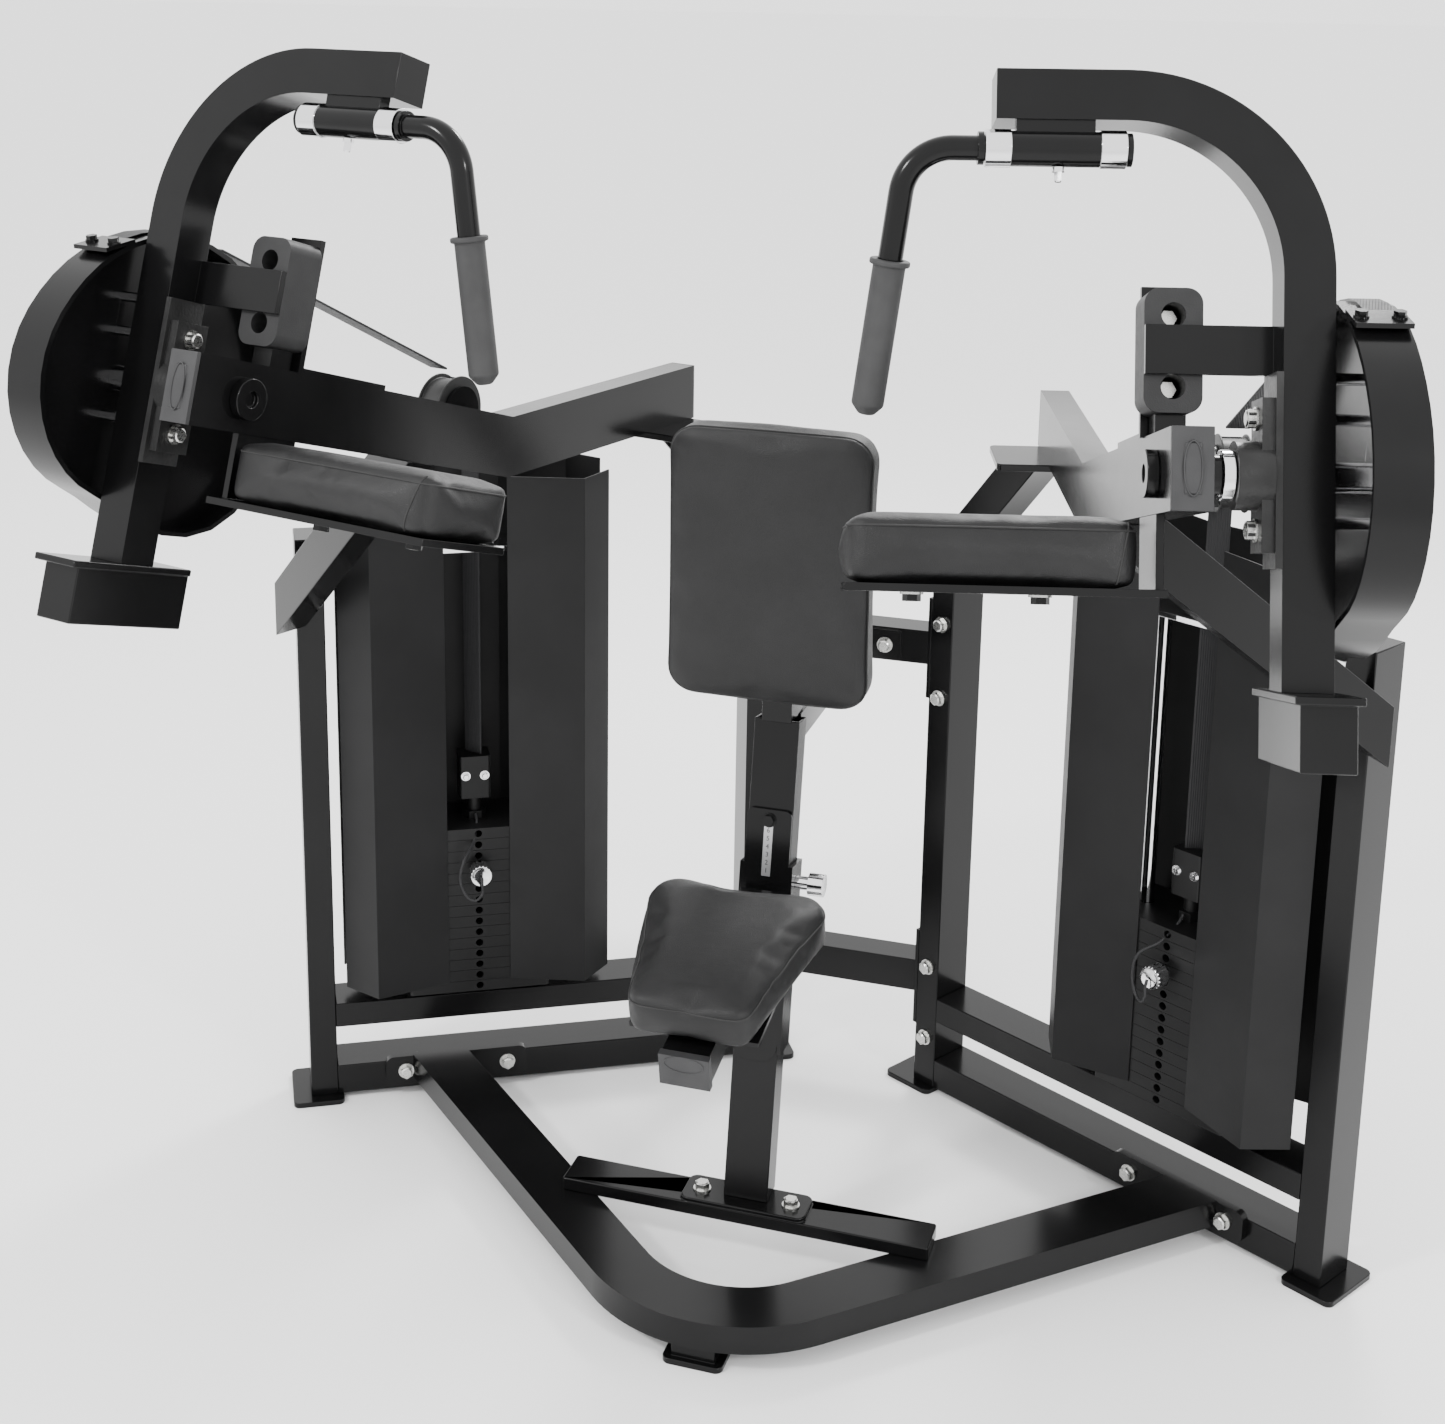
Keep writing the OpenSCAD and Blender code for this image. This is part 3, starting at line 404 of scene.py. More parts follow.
def makeArms():
    for name, sign in sides:
        def sleeveCollar(p, sign=sign):
            e, b, n = boomCoords(sign, p)
            near = math.hypot(b - sleeve["b"], n - sleeve["n"]) < sleeve["radius"]
            banded = any(low <= e <= high for low, high in sleeve["collars"])
            return near and banded and n < sleeve["top"]

        def shaftCollar(p, sign=sign):
            return boomCoords(sign, p)[0] > shaftEnd

        def fromAxis(b, n):
            return math.hypot(n - axisPlace["n"], b - axisPlace["b"])

        def beltOnCam(p, sign=sign):
            e, b, n = boomCoords(sign, p)
            turn = math.degrees(math.atan2(n - axisPlace["n"], b - axisPlace["b"]))
            swell = 1 - math.cos(math.radians(turn - cam["turned"]))
            rise = fromAxis(b, n) - (cam["radius"] + cam["growth"] * swell)
            low, high = cam["beltSides"]
            wrapped = cam["beltFrom"] < turn < cam["beltTo"]
            return wrapped and rise > cam["beltRise"] and low < e < high

        def rodOrBolt(p, sign=sign):
            e, b, n = boomCoords(sign, p)
            low, high = camRods["ends"]
            rods = low < e < high and any(
                math.hypot(b - camRods["b"], n - axisPlace["n"] - k) < camRods["radius"]
                for k in camRods["heights"])
            clamped = (beltClamp["from"] < b < beltClamp["to"] and n > beltClamp["above"]
                       and fromAxis(b, n) > beltClamp["clear"])
            return rods or (clamped and any(abs(e - k) < beltClamp["radius"]
                                            for k in beltClamp["bolts"]))

        softEdged(f"arm_{name}", "frame", steelwork["tubeEdge"], 3, [(sleeveCollar, "chrome")])
        softEdged(f"pivot_shaft_{name}", "frame", steelwork["turnedEdge"], 2,
                  [(shaftCollar, "chrome")])
        softEdged(f"cam_{name}", "frame", steelwork["plateEdge"], 2,
                  [(beltOnCam, "belt"), (rodOrBolt, "chrome")])
        softEdged(f"handle_bar_{name}", "frame", steelwork["turnedEdge"], 2)
        softEdged(f"guide_rods_{name}", "chrome", steelwork["rodEdge"], 1)
        softEdged(f"belt_run_{name}", "belt", steelwork["beltEdge"], 1)
        softEdged(f"belt_drop_{name}", "belt", steelwork["beltEdge"], 1)

    def boltInBumper(p):
        sign = 1 if p.x > 0 else -1
        e, b, n = boomCoords(sign, p)
        return b > bumperBolts["behind"] and any(
            math.hypot(e - bumperBolts["e"], n - k) < bumperBolts["radius"]
            for k in bumperBolts["heights"])
    softEdged("bumper_brackets", "frame", steelwork["plateEdge"], 2, [(boltInBumper, "zinc")])


makeSteelwork()
makeArms()
print("steelwork finished")


pads = {
    "backrest_pad": {"voxel": 0.006, "shrink": 0.0035, "cap": 0.005, "round": 0.012},
    "arm_pad_left": {"voxel": 0.005, "shrink": 0.003, "cap": 0.005, "round": 0.011},
    "arm_pad_right": {"voxel": 0.005, "shrink": 0.003, "cap": 0.005, "round": 0.011},
    "seat_pad": {"voxel": 0.005, "shrink": 0.003, "cap": 0.006, "round": 0.014},
}


coverCloth = {"pressure": 4, "stretch": 40, "shear": 20, "bending": 6, "frames": 20,
              "smoothing": 6, "fill": 0.85}


def upholster(nodeName, spec):
    # The pad's solid is drawn in a little, then puffed as cloth under pressure.
    mesh = mergedCopy(nodeName)
    obj = bpy.data.objects.new(nodeName + ".sew", mesh)
    bpy.context.scene.collection.objects.link(obj)
    bevel = obj.modifiers.new("round", "BEVEL")
    bevel.width = spec["round"]
    bevel.segments = 5
    bevel.limit_method = "ANGLE"
    bevel.angle_limit = edging["bevel"]
    remesh = obj.modifiers.new("voxel", "REMESH")
    remesh.mode = "VOXEL"
    remesh.voxel_size = spec["voxel"]
    skin = evaluatedMesh(obj)
    bpy.data.objects.remove(obj)
    skin.materials.clear()
    cover = bpy.data.objects.new(nodeName + "Cover", skin)
    bpy.context.scene.collection.objects.link(cover)
    bm = bmesh.new()
    bm.from_mesh(skin)
    bm.normal_update()
    for v in bm.verts:
        v.co -= v.normal * spec["shrink"]
    bm.to_mesh(skin)
    bm.free()
    start = [v.co.copy() for v in skin.vertices]
    cloth = cover.modifiers.new("cloth", "CLOTH")
    cloth.settings.use_pressure = True
    cloth.settings.uniform_pressure_force = coverCloth["pressure"]
    cloth.settings.effector_weights.gravity = 0
    cloth.settings.tension_stiffness = coverCloth["stretch"]
    cloth.settings.compression_stiffness = coverCloth["stretch"]
    cloth.settings.shear_stiffness = coverCloth["shear"]
    cloth.settings.bending_stiffness = coverCloth["bending"]
    cloth.point_cache.frame_start = 1
    cloth.point_cache.frame_end = coverCloth["frames"]
    for step in range(1, coverCloth["frames"] + 1):
        bpy.context.scene.frame_set(step)
    puffed = evaluatedMesh(cover)
    cover.modifiers.remove(cloth)
    for v, s, p in zip(skin.vertices, start, puffed.vertices):
        move = p.co - s
        if move.length > spec["cap"]:
            move = move.normalized() * spec["cap"]
        v.co = s + move
    bpy.data.meshes.remove(puffed)
    bpy.context.scene.frame_set(1)
    smooth = cover.modifiers.new("smooth", "SMOOTH")
    smooth.factor = 0.5
    smooth.iterations = coverCloth["smoothing"]
    sub = cover.modifiers.new("sub", "SUBSURF")
    sub.levels = sub.render_levels = 1
    final = evaluatedMesh(cover)
    bpy.data.objects.remove(cover)
    final.name = nodeName + "Vinyl"
    piece = addPiece(nodeName + "Vinyl", final, bodyOf[nodeName], "vinyl")
    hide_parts(nodeName)
    return piece


seam = {"radius": 0.0012, "reach": 0.4, "turns": 220, "proud": 0.2}


def seamLoop(piece, name, centre, right, up, body):
    # A stitched seam found by looking in from all round at one level of the pad.
    tree = surfaceTree(piece)
    points = []
    for k in range(seam["turns"]):
        a = 2 * math.pi * k / seam["turns"]
        ray = right * math.cos(a) + up * math.sin(a)
        hit = tree.ray_cast(centre + ray * seam["reach"], -ray)
        if hit[0] is not None:
            points.append(hit[0] + ray * seam["radius"] * seam["proud"])
    if len(points) < seam["turns"] * 0.9:
        print("seam skipped on", piece.name)
        return
    tubeAlong(name, points, seam["radius"], body, "thread", closed=True, sides=2)


# Millimetres to the belt's middle over the pulley, and degrees from straight ahead.
wrap = {"radius": 46.5, "from": 116.6, "to": 180, "steps": 24, "width": 30, "half": 1.4}


def wrapBelts():
    # Belt bent over the pulley between its straight run and its drop.
    for name, sign in sides:
        joint = joints[f"pulley_{name}_turn"]
        centre = Vector(joint["pos_m"])
        out = Vector(joint["axis"]) * sign
        ahead = Vector((0, 0, 1)).cross(out) * -sign
        wide, half = wrap["width"] / 2000, wrap["half"]
        verts, faces, steps = [], [], wrap["steps"]
        for k in range(steps + 1):
            a = math.radians(wrap["from"] + (wrap["to"] - wrap["from"]) * k / steps)
            ray = ahead * math.cos(a) + Vector((0, 0, math.sin(a)))
            for e, r in ((-wide, -half), (wide, -half), (wide, half), (-wide, half)):
                verts.append(centre + out * e + ray * (wrap["radius"] + r) / 1000)
        for k in range(steps):
            for j in range(4):
                i = (j + 1) % 4
                faces.append((4 * k + j, 4 * k + i, 4 * k + 4 + i, 4 * k + 4 + j))
        faces += [(3, 2, 1, 0), (4 * steps, 4 * steps + 1, 4 * steps + 2, 4 * steps + 3)]
        mesh = meshFrom(f"beltWrap_{name}", verts, faces)
        addPiece(f"beltWrap_{name}", mesh, "frame", "belt")
        mesh.set_sharp_from_angle(angle=edging["bevel"])


wrapBelts()
covers = {name: upholster(name, spec) for name, spec in pads.items()}
print("pads upholstered")


seatSlope = 11.1
seamLevel = {"backrest": 0.012, "elbow": 0.022, "seat": 0.016}
# Millimetres in the boom's frame, with the seam's two ends for each side.
elbowPad = {"middle": (211, 827.5, 914), "ahead": 1100, "bottom": 884, "height": 60,
            "corner": {"left": (99, 84), "right": (331, 343)}, "steps": 30, "radius": 0.0011}


def sewSeams():
    back = covers["backrest_pad"]
    centre = middleOf(v.co for v in back.data.vertices)
    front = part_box("backrest_pad")[0].y
    seamLoop(back, "backrestSeam", Vector((centre.x, front + seamLevel["backrest"], centre.z)),
             Vector((1, 0, 0)), Vector((0, 0, 1)), "frame")
    for name, sign in sides:
        pad = covers[f"arm_pad_{name}"]
        _, out, along, square = boomAxes(sign)
        middle = boomPoint(sign, *elbowPad["middle"]) + square * seamLevel["elbow"]
        seamLoop(pad, f"elbowSeam_{name}", middle, out, along, "frame")
        # Corner seam up the pad's front near one end.
        tree = surfaceTree(pad)
        line, steps = [], elbowPad["steps"]
        low, high = elbowPad["corner"][name]
        for k in range(steps + 1):
            n = elbowPad["bottom"] + elbowPad["height"] * k / steps
            start = boomPoint(sign, low + (high - low) * k / steps, elbowPad["ahead"], n)
            hit = tree.ray_cast(start, -along)
            if hit[0] is not None:
                line.append(hit[0])
        if len(line) > steps / 3:
            tubeAlong(f"elbowCorner_{name}", line, elbowPad["radius"], "frame", "thread", sides=2)
    seat = covers["seat_pad"]
    slide, lift = leaning(seatSlope)
    level = middleOf(v.co for v in seat.data.vertices) + lift * seamLevel["seat"]
    seamLoop(seat, "seatSeam", level, Vector((1, 0, 0)), slide, "seat")


sewSeams()
print("seams sewn")


# Head radius, head height, washer radius and washer height of each kind of bolt.
boltSizes = {"frame": (0.0098, 0.0075, 0.0118, 0.0022), "pad": (0.008, 0.006, 0.0118, 0.0022),
             "clamp": (0.0052, 0.004, 0.007, 0.0012), "sleeve": (0.0042, 0.009, 0.0062, 0.004)}
boltInputs = ("Head Radius", "Head Height", "Washer Radius", "Washer Height")
crown = {"height": 0.0012, "bottom": 0.86, "top": 0.70}


def boltTree():
    # A washer, a hexagon head and its chamfered crown on each point, facing its own way.
    tree = bpy.data.node_groups.new("boltSet", "GeometryNodeTree")
    face = tree.interface
    face.new_socket("Geometry", in_out="INPUT", socket_type="NodeSocketGeometry")
    for label in boltInputs:
        face.new_socket(label, in_out="INPUT", socket_type="NodeSocketFloat")
    face.new_socket("Finish", in_out="INPUT", socket_type="NodeSocketMaterial")
    face.new_socket("Geometry", in_out="OUTPUT", socket_type="NodeSocketGeometry")
    n, link = tree.nodes, tree.links.new
    inp, out = n.new("NodeGroupInput"), n.new("NodeGroupOutput")
    washer = n.new("GeometryNodeMeshCylinder")
    washer.inputs["Vertices"].default_value = 40
    link(inp.outputs["Washer Radius"], washer.inputs["Radius"])
    link(inp.outputs["Washer Height"], washer.inputs["Depth"])
    head = n.new("GeometryNodeMeshCylinder")
    head.inputs["Vertices"].default_value = 6
    link(inp.outputs["Head Radius"], head.inputs["Radius"])
    link(inp.outputs["Head Height"], head.inputs["Depth"])

    def shareOf(socket, share):
        scale = n.new("ShaderNodeMath")
        scale.operation = "MULTIPLY"
        scale.inputs[1].default_value = share
        link(socket, scale.inputs[0])
        return scale.outputs[0]

    cone = n.new("GeometryNodeMeshCone")
    cone.inputs["Vertices"].default_value = 24
    cone.inputs["Depth"].default_value = crown["height"]
    link(shareOf(inp.outputs["Head Radius"], crown["bottom"]), cone.inputs["Radius Bottom"])
    link(shareOf(inp.outputs["Head Radius"], crown["top"]), cone.inputs["Radius Top"])

    def lifted(source, *parts):
        move = n.new("GeometryNodeTransform")
        link(source, move.inputs["Geometry"])
        total = None
        for socket, share in parts:
            if total is None:
                total = shareOf(socket, share)
            else:
                add = n.new("ShaderNodeMath")
                link(total, add.inputs[0])
                link(shareOf(socket, share), add.inputs[1])
                total = add.outputs[0]
        place = n.new("ShaderNodeCombineXYZ")
        link(total, place.inputs["Z"])
        link(place.outputs[0], move.inputs["Translation"])
        return move.outputs[0]

    join = n.new("GeometryNodeJoinGeometry")
    wh, hh = inp.outputs["Washer Height"], inp.outputs["Head Height"]
    link(lifted(washer.outputs["Mesh"], (wh, 0.5)), join.inputs[0])
    link(lifted(head.outputs["Mesh"], (wh, 1), (hh, 0.5)), join.inputs[0])
    link(lifted(cone.outputs["Mesh"], (wh, 1), (hh, 1)), join.inputs[0])
    onPoints = n.new("GeometryNodeInstanceOnPoints")
    link(inp.outputs["Geometry"], onPoints.inputs["Points"])
    link(join.outputs[0], onPoints.inputs["Instance"])
    align = n.new("FunctionNodeAlignRotationToVector")
    align.axis = "Z"
    named = n.new("GeometryNodeInputNamedAttribute")
    named.data_type = "FLOAT_VECTOR"
    named.inputs["Name"].default_value = "facing"
    link(named.outputs["Attribute"], align.inputs["Vector"])
    link(align.outputs["Rotation"], onPoints.inputs["Rotation"])
    real = n.new("GeometryNodeRealizeInstances")
    link(onPoints.outputs[0], real.inputs[0])
    finish = n.new("GeometryNodeSetMaterial")
    link(real.outputs[0], finish.inputs["Geometry"])
    link(inp.outputs["Finish"], finish.inputs["Material"])
    link(finish.outputs[0], out.inputs[0])
    return tree


def setBolts(name, kind, points, facings, body, matKey):
    mesh = bpy.data.meshes.new(name + "Points")
    mesh.from_pydata([tuple(p) for p in points], [], [])
    attribute = mesh.attributes.new("facing", "FLOAT_VECTOR", "POINT")
    for k, d in enumerate(facings):
        attribute.data[k].vector = d
    obj = bpy.data.objects.new(name + ".points", mesh)
    bpy.context.scene.collection.objects.link(obj)
    modifier = obj.modifiers.new("set", "NODES")
    modifier.node_group = boltSet
    sockets = {s.name: s.identifier for s in boltSet.interface.items_tree
               if s.item_type == "SOCKET" and s.in_out == "INPUT"}
    for label, size in zip(boltInputs, boltSizes[kind]):
        modifier[sockets[label]] = size
    modifier[sockets["Finish"]] = mats[matKey]
    final = evaluatedMesh(obj)
    bpy.data.objects.remove(obj)
    return addPiece(name, final, body, matKey, smooth=False)


def looseParts(mesh):
    # Points and faces of each separate solid in a mesh.
    bm = bmesh.new()
    bm.from_mesh(mesh)
    bmesh.ops.remove_doubles(bm, verts=bm.verts, dist=mergeDistance)
    seen, parts = set(), []
    for v in bm.verts:
        if v in seen:
            continue
        stack, part = [v], []
        seen.add(v)
        while stack:
            w = stack.pop()
            part.append(w)
            for e in w.link_edges:
                o = e.other_vert(w)
                if o not in seen:
                    seen.add(o)
                    stack.append(o)
        faces = {f for w in part for f in w.link_faces}
        parts.append(([w.co.copy() for w in part],
                      [(f.normal.copy(), f.calc_area()) for f in faces]))
    bm.free()
    return parts


endDepth = 0.0005


def seatOfBolt(verts, faces):
    # The flat that lies against the frame is a bolt's widest end, and the head looks away.
    centre = middleOf(verts)
    totals = {}
    for normal, area in faces:
        key = tuple(round(c, 1) for c in normal)
        totals[key] = totals.get(key, 0) + area
    widest = max(totals, key=totals.get)
    normal = next(nrm for nrm, _ in faces if tuple(round(c, 1) for c in nrm) == widest)
    depth = [(v - centre).dot(normal) for v in verts]
    low, high = min(depth), max(depth)

    def reach(end):
        return max((v - centre - normal * d).length
                   for v, d in zip(verts, depth) if abs(d - end) < endDepth)
    if reach(low) < reach(high):
        normal, low = -normal, -high
    return centre + normal * low, normal


# Millimetres in the boom's frame.
padBolts = {"n": 872, "places": ((266, 832), (139, 824))}
bearingBolts = {"e": 467.8, "b": 876, "heights": (940, 1049)}


def placeBolts():
    seats = [seatOfBolt(*part) for part in looseParts(nodes["frame_bolts"].data)]
    points, facings = zip(*seats)
    piece = setBolts("frameBoltSet", "frame", points, facings, "frame", "zinc")
    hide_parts("frame_bolts")
    for name, sign in sides:
        _, out, _, square = boomAxes(sign)
        under = [boomPoint(sign, e, b, padBolts["n"]) for e, b in padBolts["places"]]
        setBolts(f"padBolts_{name}", "pad", under, [-square] * 2, "frame", "zinc")
        face = [boomPoint(sign, bearingBolts["e"], bearingBolts["b"], n)
                for n in bearingBolts["heights"]]
        setBolts(f"bearingBolts_{name}", "frame", face, [-out] * 2, f"arm_{name}", "zinc")


boltSet = boltTree()
placeBolts()
print("bolts placed")


postLean = 9.7  # the post's top leans towards the back
scale = {"width": 0.012, "length": 0.068, "thick": 0.0008, "edge": 0.0003, "marks": 6,
         "pitch": 0.010625, "below": 0.052, "digit": 0.009, "ink": 0.0001, "lift": 0.0009,
         "plateTop": 0.02, "plateSide": 0.025}


def makeScale():
    back, up = leaning(-postLean)
    outward = -back
    # The number plate's front is the foremost place near the top of the carriage.
    places = [v.co for v in nodes["seat_carriage"].data.vertices]
    top = max(c.z for c in places)
    upper = [c for c in places
             if c.z > top - scale["plateTop"] and abs(c.x) > scale["plateSide"]]
    corner = max(upper, key=outward.dot)
    origin = Vector((0, corner.y, corner.z)) - up * scale["below"]
    basis = Matrix((Vector((1, 0, 0)), up, outward)).transposed().to_4x4()
    mesh = bpy.data.meshes.new("scaleStrip")
    bm = bmesh.new()
    bmesh.ops.create_cube(bm, size=1)
    bmesh.ops.scale(bm, vec=(scale["width"], scale["length"], scale["thick"]), verts=bm.verts)
    bmesh.ops.bevel(bm, geom=bm.edges[:], offset=scale["edge"], segments=2, affect="EDGES")
    place = Matrix.Translation(origin + outward * scale["thick"] / 2) @ basis
    bmesh.ops.transform(bm, matrix=place, verts=bm.verts)
    bm.to_mesh(mesh)
    bm.free()
    addPiece("scaleStrip", mesh, "seat", "alu", smooth=False)
    for k in range(scale["marks"]):
        step = (k - (scale["marks"] - 1) / 2) * scale["pitch"]
        spot = origin + up * step + outward * scale["lift"]
        curve = bpy.data.curves.new(f"digit{k + 1}", "FONT")
        curve.body = str(k + 1)
        curve.size = scale["digit"]
        curve.extrude = scale["ink"]
        curve.align_x = curve.align_y = "CENTER"
        obj = bpy.data.objects.new(f"digit{k + 1}", curve)
        bpy.context.scene.collection.objects.link(obj)
        bpy.context.view_layer.update()
        digit = evaluatedMesh(obj)
        bpy.data.objects.remove(obj)
        digit.transform(Matrix.Translation(spot) @ basis)
        addPiece(f"scaleDigit{k + 1}", digit, "seat", "ink", smooth=False)


ovals = {"radius": 0.0009, "points": 60, "boomCap": (391, 961.2, 994),
         "boomReach": (0.0085, 0.026), "seatReach": (0.024, 0.011)}


def ovalOn(name, middle, across, over, body):
    # An embossed oval line on a plastic cap.
    turns = [2 * math.pi * k / ovals["points"] for k in range(ovals["points"])]
    points = [middle + across * math.cos(a) + over * math.sin(a) for a in turns]
    tubeAlong(name, points, ovals["radius"], body, "plastic", closed=True, sides=2)


def makeOvals():
    wide, high = ovals["boomReach"]
    for name, sign in sides:
        _, out, _, square = boomAxes(sign)
        middle = boomPoint(sign, *ovals["boomCap"])
        ovalOn(f"capOval_{name}", middle, out * wide, square * high, "frame")


# Rings give the height above the knob's base and the share of its radius.
knob = {"radius": 0.017, "flutes": 18, "depth": 0.0012, "fluted": 0.97, "count": 144,
        "length": 0.0268, "shankGap": 0.026, "shankRadius": 0.0049, "shankSteps": 8,
        "rings": ((0.0, 0.55), (0.0, 0.90), (0.0012, 0.97), (0.003, 1.0), (0.019, 1.0),
                  (0.0222, 0.97), (0.0235, 0.88), (0.0235, 0.62), (0.0222, 0.52),
                  (0.0222, 0.05))}


def flutedKnob(name, base, axis, body):
    # A turned knob with flutes round its rim and a dished face.
    side = axis.orthogonal().normalized()
    other = axis.cross(side)
    rings, count = knob["rings"], knob["count"]
    verts, faces = [], []
    for height, share in rings:
        for k in range(count):
            a = 2 * math.pi * k / count
            cut = 0
            if share >= knob["fluted"]:
                cut = knob["depth"] * (0.5 - 0.5 * math.cos(knob["flutes"] * a))
            r = knob["radius"] * share - cut
            verts.append(base + axis * height + side * r * math.cos(a) + other * r * math.sin(a))
    for i in range(len(rings) - 1):
        for k in range(count):
            j = (k + 1) % count
            faces.append((i * count + k, i * count + j, (i + 1) * count + j, (i + 1) * count + k))
    faces.append(tuple(reversed(range(count))))
    faces.append(tuple(range((len(rings) - 1) * count, len(rings) * count)))
    mesh = meshFrom(name, verts, faces)
    piece = addPiece(name, mesh, body, "chrome")
    mesh.set_sharp_from_angle(angle=edging["bevel"])
    return piece


def pinPlace(name):
    # The pull direction, a point of the pin's centre line, and the pin's back and front along it.
    axis = Vector(joints[f"pin_{name}_pull"]["axis"])
    points = [v.co for v in nodes[f"selector_pin_{name}"].data.vertices]
    centre = middleOf(points)
    depths = [axis.dot(c) for c in points]
    return axis, centre - axis * axis.dot(centre), min(depths), max(depths)


def makeKnobs():
    for name, _ in sides:
        axis, centre, back, front = pinPlace(name)
        base = centre + axis * (front - knob["length"])
        piece = flutedKnob(f"selectorKnob_{name}", base, axis, f"pin_{name}")
        # Shank behind the knob.
        steps, end = knob["shankSteps"], front - knob["shankGap"]
        shank = [centre + axis * (back + (end - back) * k / steps) for k in range(steps + 1)]
        tubeAlong(f"selectorShank_{name}", shank, knob["shankRadius"], f"pin_{name}", "chrome",
                  sides=5)
        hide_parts(f"selector_pin_{name}")


carriage = {"pinFrom": 0.0362, "pinAbove": 0.44, "pinBehind": -0.12, "capDepth": 0.0185,
            "capHalf": 0.0312, "capBelow": 0.47, "capFront": 0.012}


def makeSeatCarriage():
    places = [v.co for v in nodes["seat_carriage"].data.vertices]
    low = min(c.y for c in places)

    def pullPin(p):
        return (p.x > carriage["pinFrom"] and p.z > carriage["pinAbove"]
                and p.y > carriage["pinBehind"])

    def tubeCap(p):
        return (p.y < low + carriage["capDepth"] and abs(p.x) < carriage["capHalf"]
                and p.z < carriage["capBelow"])
    softEdged("seat_carriage", "frame", steelwork["plateEdge"], 2,
              [(pullPin, "chrome"), (tubeCap, "plastic")])
    slide, lift = leaning(seatSlope)
    front = [c for c in places if c.y < low + carriage["capFront"]]
    middle = middleOf(front)
    middle.x = 0
    middle += slide * (min(slide.dot(c) for c in front) - slide.dot(middle))
    wide, high = ovals["seatReach"]
    ovalOn("seatCapOval", middle, Vector((wide, 0, 0)), lift * high, "seat")


# The tether hangs from the stack's head and ends at the knob's face. Each step gives metres
# along the pull direction, up and across, from the tether's start or from the knob's face.
tether = {"radius": 0.0021, "below": 0.091, "behind": 0.034, "proud": 0.001,
          "fromStart": ((0, 0, 0), (0.012, -0.010, 0), (0.038, -0.030, 0.008)),
          "fromFace": ((-0.012, 0.026, 0.024), (-0.010, -0.004, 0.031),
                       (-0.006, -0.030, 0.022), (-0.002, -0.036, 0.009), (0.003, -0.024, 0),
                       (0.004, -0.010, 0), (0.0005, 0, 0))}
clampScrews = {"across": 0.014, "below": 0.030, "block": 0.06}


def smoothThrough(points, per=10):
    # Catmull-Rom run through the given points.
    out = []
    ends = [points[0]] + points + [points[-1]]
    for i in range(1, len(ends) - 2):
        p0, p1, p2, p3 = ends[i - 1:i + 3]
        for k in range(per):
            t = k / per
            out.append(0.5 * ((2 * p1) + (p2 - p0) * t + (2 * p0 - 5 * p1 + 4 * p2 - p3) * t * t
                              + (3 * p1 - p0 - 3 * p2 + p3) * t ** 3))
    return out + [points[-1]]


def makeTethers():
    up = Vector((0, 0, 1))
    for name, _ in sides:
        axis, centre, _, front = pinPlace(name)
        across = axis.cross(up).normalized()
        face = centre + axis * (front + tether["proud"])
        block = [v.co for v in nodes[f"stack_top_{name}"].data.vertices]
        high = max(c.z for c in block)
        plateFront = max(axis.dot(c) for c in block)
        level = centre - up * centre.z
        start = level + up * (high - tether["below"]) + axis * (plateFront - tether["behind"])
        points = [origin + axis * a + up * u + across * c
                  for origin, steps in ((start, tether["fromStart"]), (face, tether["fromFace"]))
                  for a, u, c in steps]
        rope = tubeAlong(f"pinTether_{name}", smoothThrough(points), tether["radius"],
                         None, "belt", sides=3)
        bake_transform(rope)
        # Screws of the belt clamp above the plates.
        blockFace = max(axis.dot(c) for c in block if c.z > high - clampScrews["block"])
        screws = [level + up * (high - clampScrews["below"]) + across * k + axis * blockFace
                  for k in (-clampScrews["across"], clampScrews["across"])]
        setBolts(f"beltClampScrews_{name}", "clamp", screws, [axis] * 2, f"lift_{name}", "chrome")


sleeveScrew = {"outward": 0.004, "below": 0.0185}


def makeSleeveScrews():
    # Small stop screw under each handle sleeve.
    for name, sign in sides:
        joint = joints[f"handle_{name}_swing"]
        centre = Vector(joint["pos_m"]) + Vector(joint["axis"]) * sign * sleeveScrew["outward"]
        square = boomAxes(sign)[3]
        setBolts(f"sleeveScrew_{name}", "sleeve", [centre - square * sleeveScrew["below"]],
                 [-square], f"arm_{name}", "chrome")


makeTethers()
makeSleeveScrews()
makeSeatCarriage()
makeScale()
makeOvals()
makeKnobs()
print("small parts made")


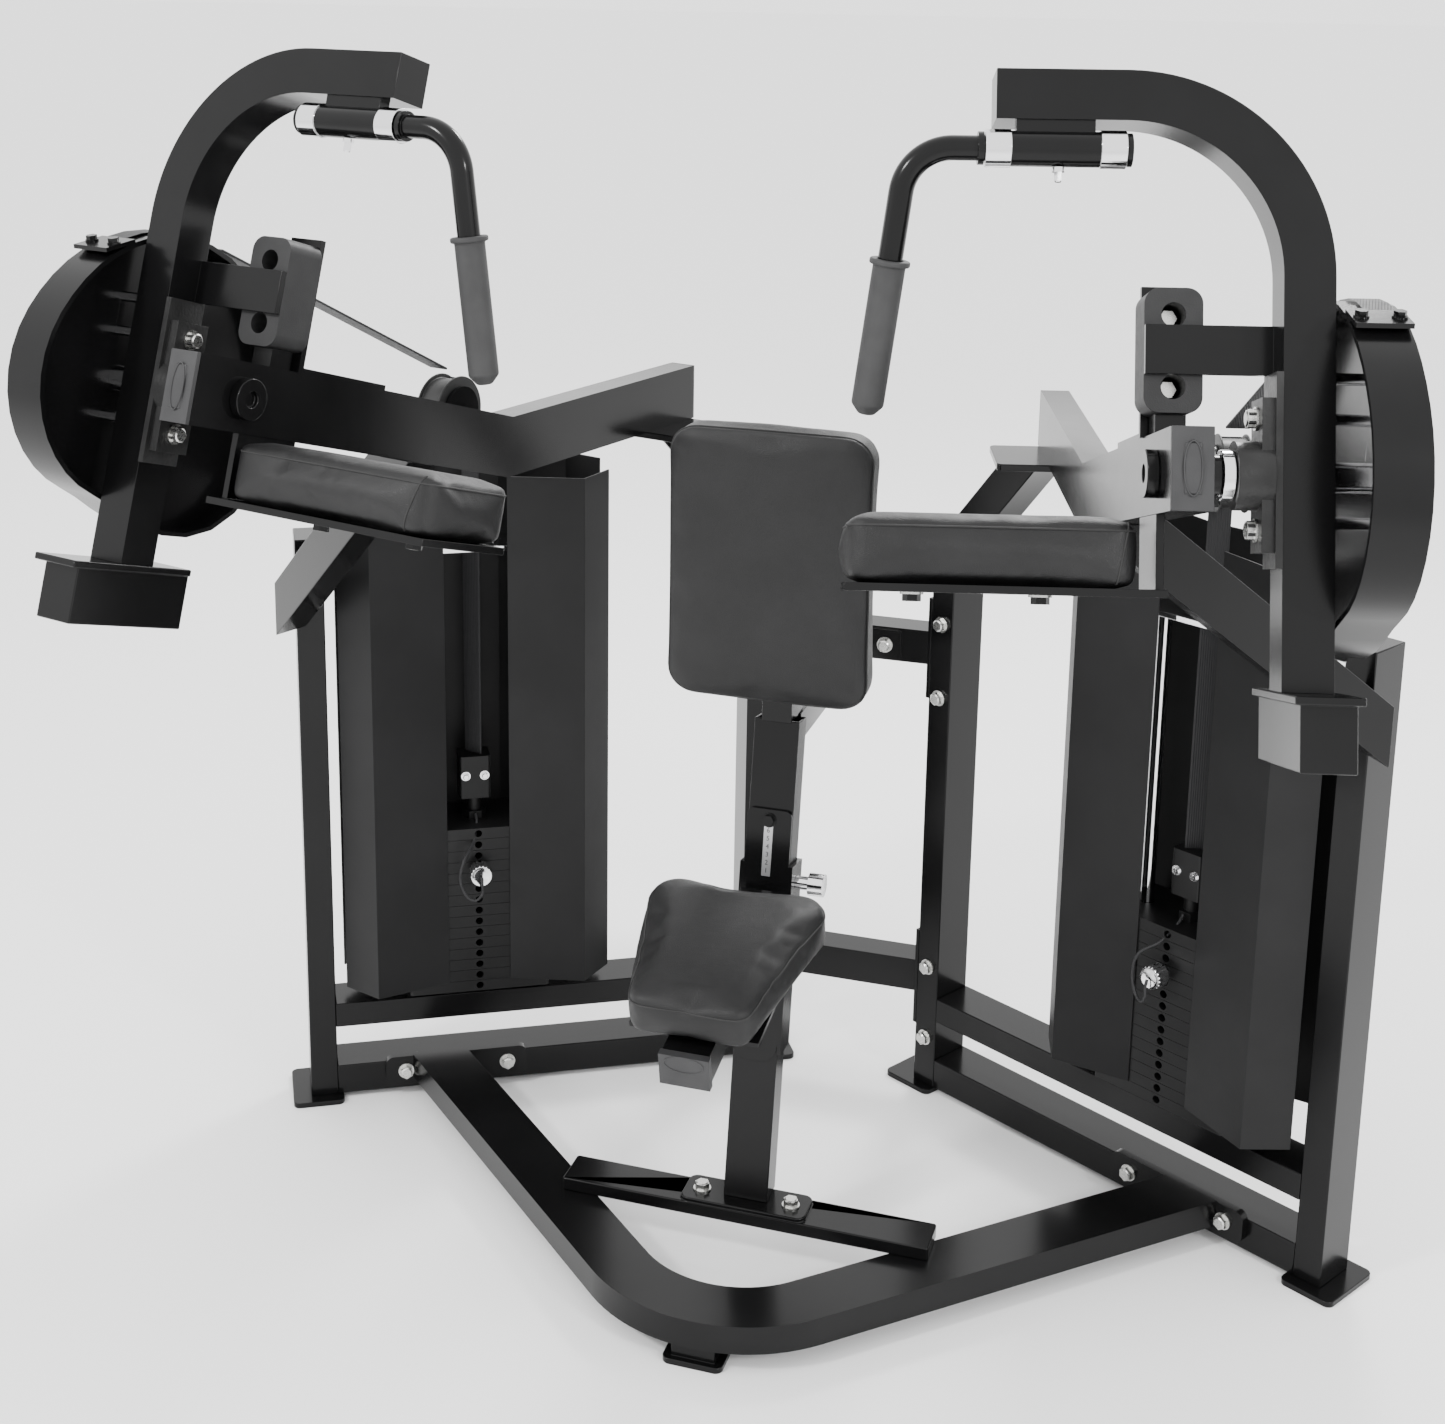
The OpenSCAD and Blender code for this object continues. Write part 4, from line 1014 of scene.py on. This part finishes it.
# Each lamp has its place, its size and its power.
studio = {"floor": (0.95, 0.95, 0.95), "world": 2.3, "half": 60, "target": (0, 0, 0.8),
          "lamps": {"key": ((-2.4, -3.0, 3.6), 0.45, 120), "fill": ((3.2, -2.2, 2.6), 0.45, 60),
                    "rim": ((0.4, 2.8, 3.4), 0.7, 90)}}


def makeStudio():
    mesh = bpy.data.meshes.new("floor")
    r = studio["half"]
    mesh.from_pydata([(-r, -r, 0), (r, -r, 0), (r, r, 0), (-r, r, 0)], [], [(0, 1, 2, 3)])
    floor = bpy.data.objects.new("floor", mesh)
    bpy.context.scene.collection.objects.link(floor)
    mesh.materials.append(newMaterial("paleFloor", studio["floor"], 0.75)[0])
    world = bpy.data.worlds.new("studio")
    bpy.context.scene.world = world
    world.use_nodes = True
    background = world.node_tree.nodes["Background"]
    background.inputs["Color"].default_value = (*studio["floor"], 1)
    background.inputs["Strength"].default_value = studio["world"]
    for label, (place, size, power) in studio["lamps"].items():
        light = bpy.data.lights.new(label, "AREA")
        light.energy = power
        light.size = size
        lamp = bpy.data.objects.new(label, light)
        bpy.context.scene.collection.objects.link(lamp)
        lamp.location = place
        ray = Vector(studio["target"]) - Vector(place)
        lamp.rotation_euler = ray.to_track_quat("-Z", "Y").to_euler()


camera = {"place": (0.6712, -2.4737, 1.695), "yaw": 17.921, "pitch": 13.25, "roll": -0.621,
          "lens": 52.7, "sensor": 36, "shiftX": 0.0324, "shiftY": -0.18}


def makeCamera():
    data = bpy.data.cameras.new("view")
    data.sensor_width = camera["sensor"]
    data.lens = camera["lens"]
    data.shift_x = camera["shiftX"]
    data.shift_y = camera["shiftY"]
    obj = bpy.data.objects.new("view", data)
    bpy.context.scene.collection.objects.link(obj)
    yaw, pitch, roll = (math.radians(camera[k]) for k in ("yaw", "pitch", "roll"))
    obj.location = camera["place"]
    turn = (Matrix.Rotation(yaw, 4, "Z") @ Matrix.Rotation(math.pi / 2 - pitch, 4, "X")
            @ Matrix.Rotation(-roll, 4, "Z"))
    obj.rotation_euler = turn.to_euler()
    bpy.context.scene.camera = obj


makeStudio()
makeCamera()
bpy.context.view_layer.update()
print("studio ready")
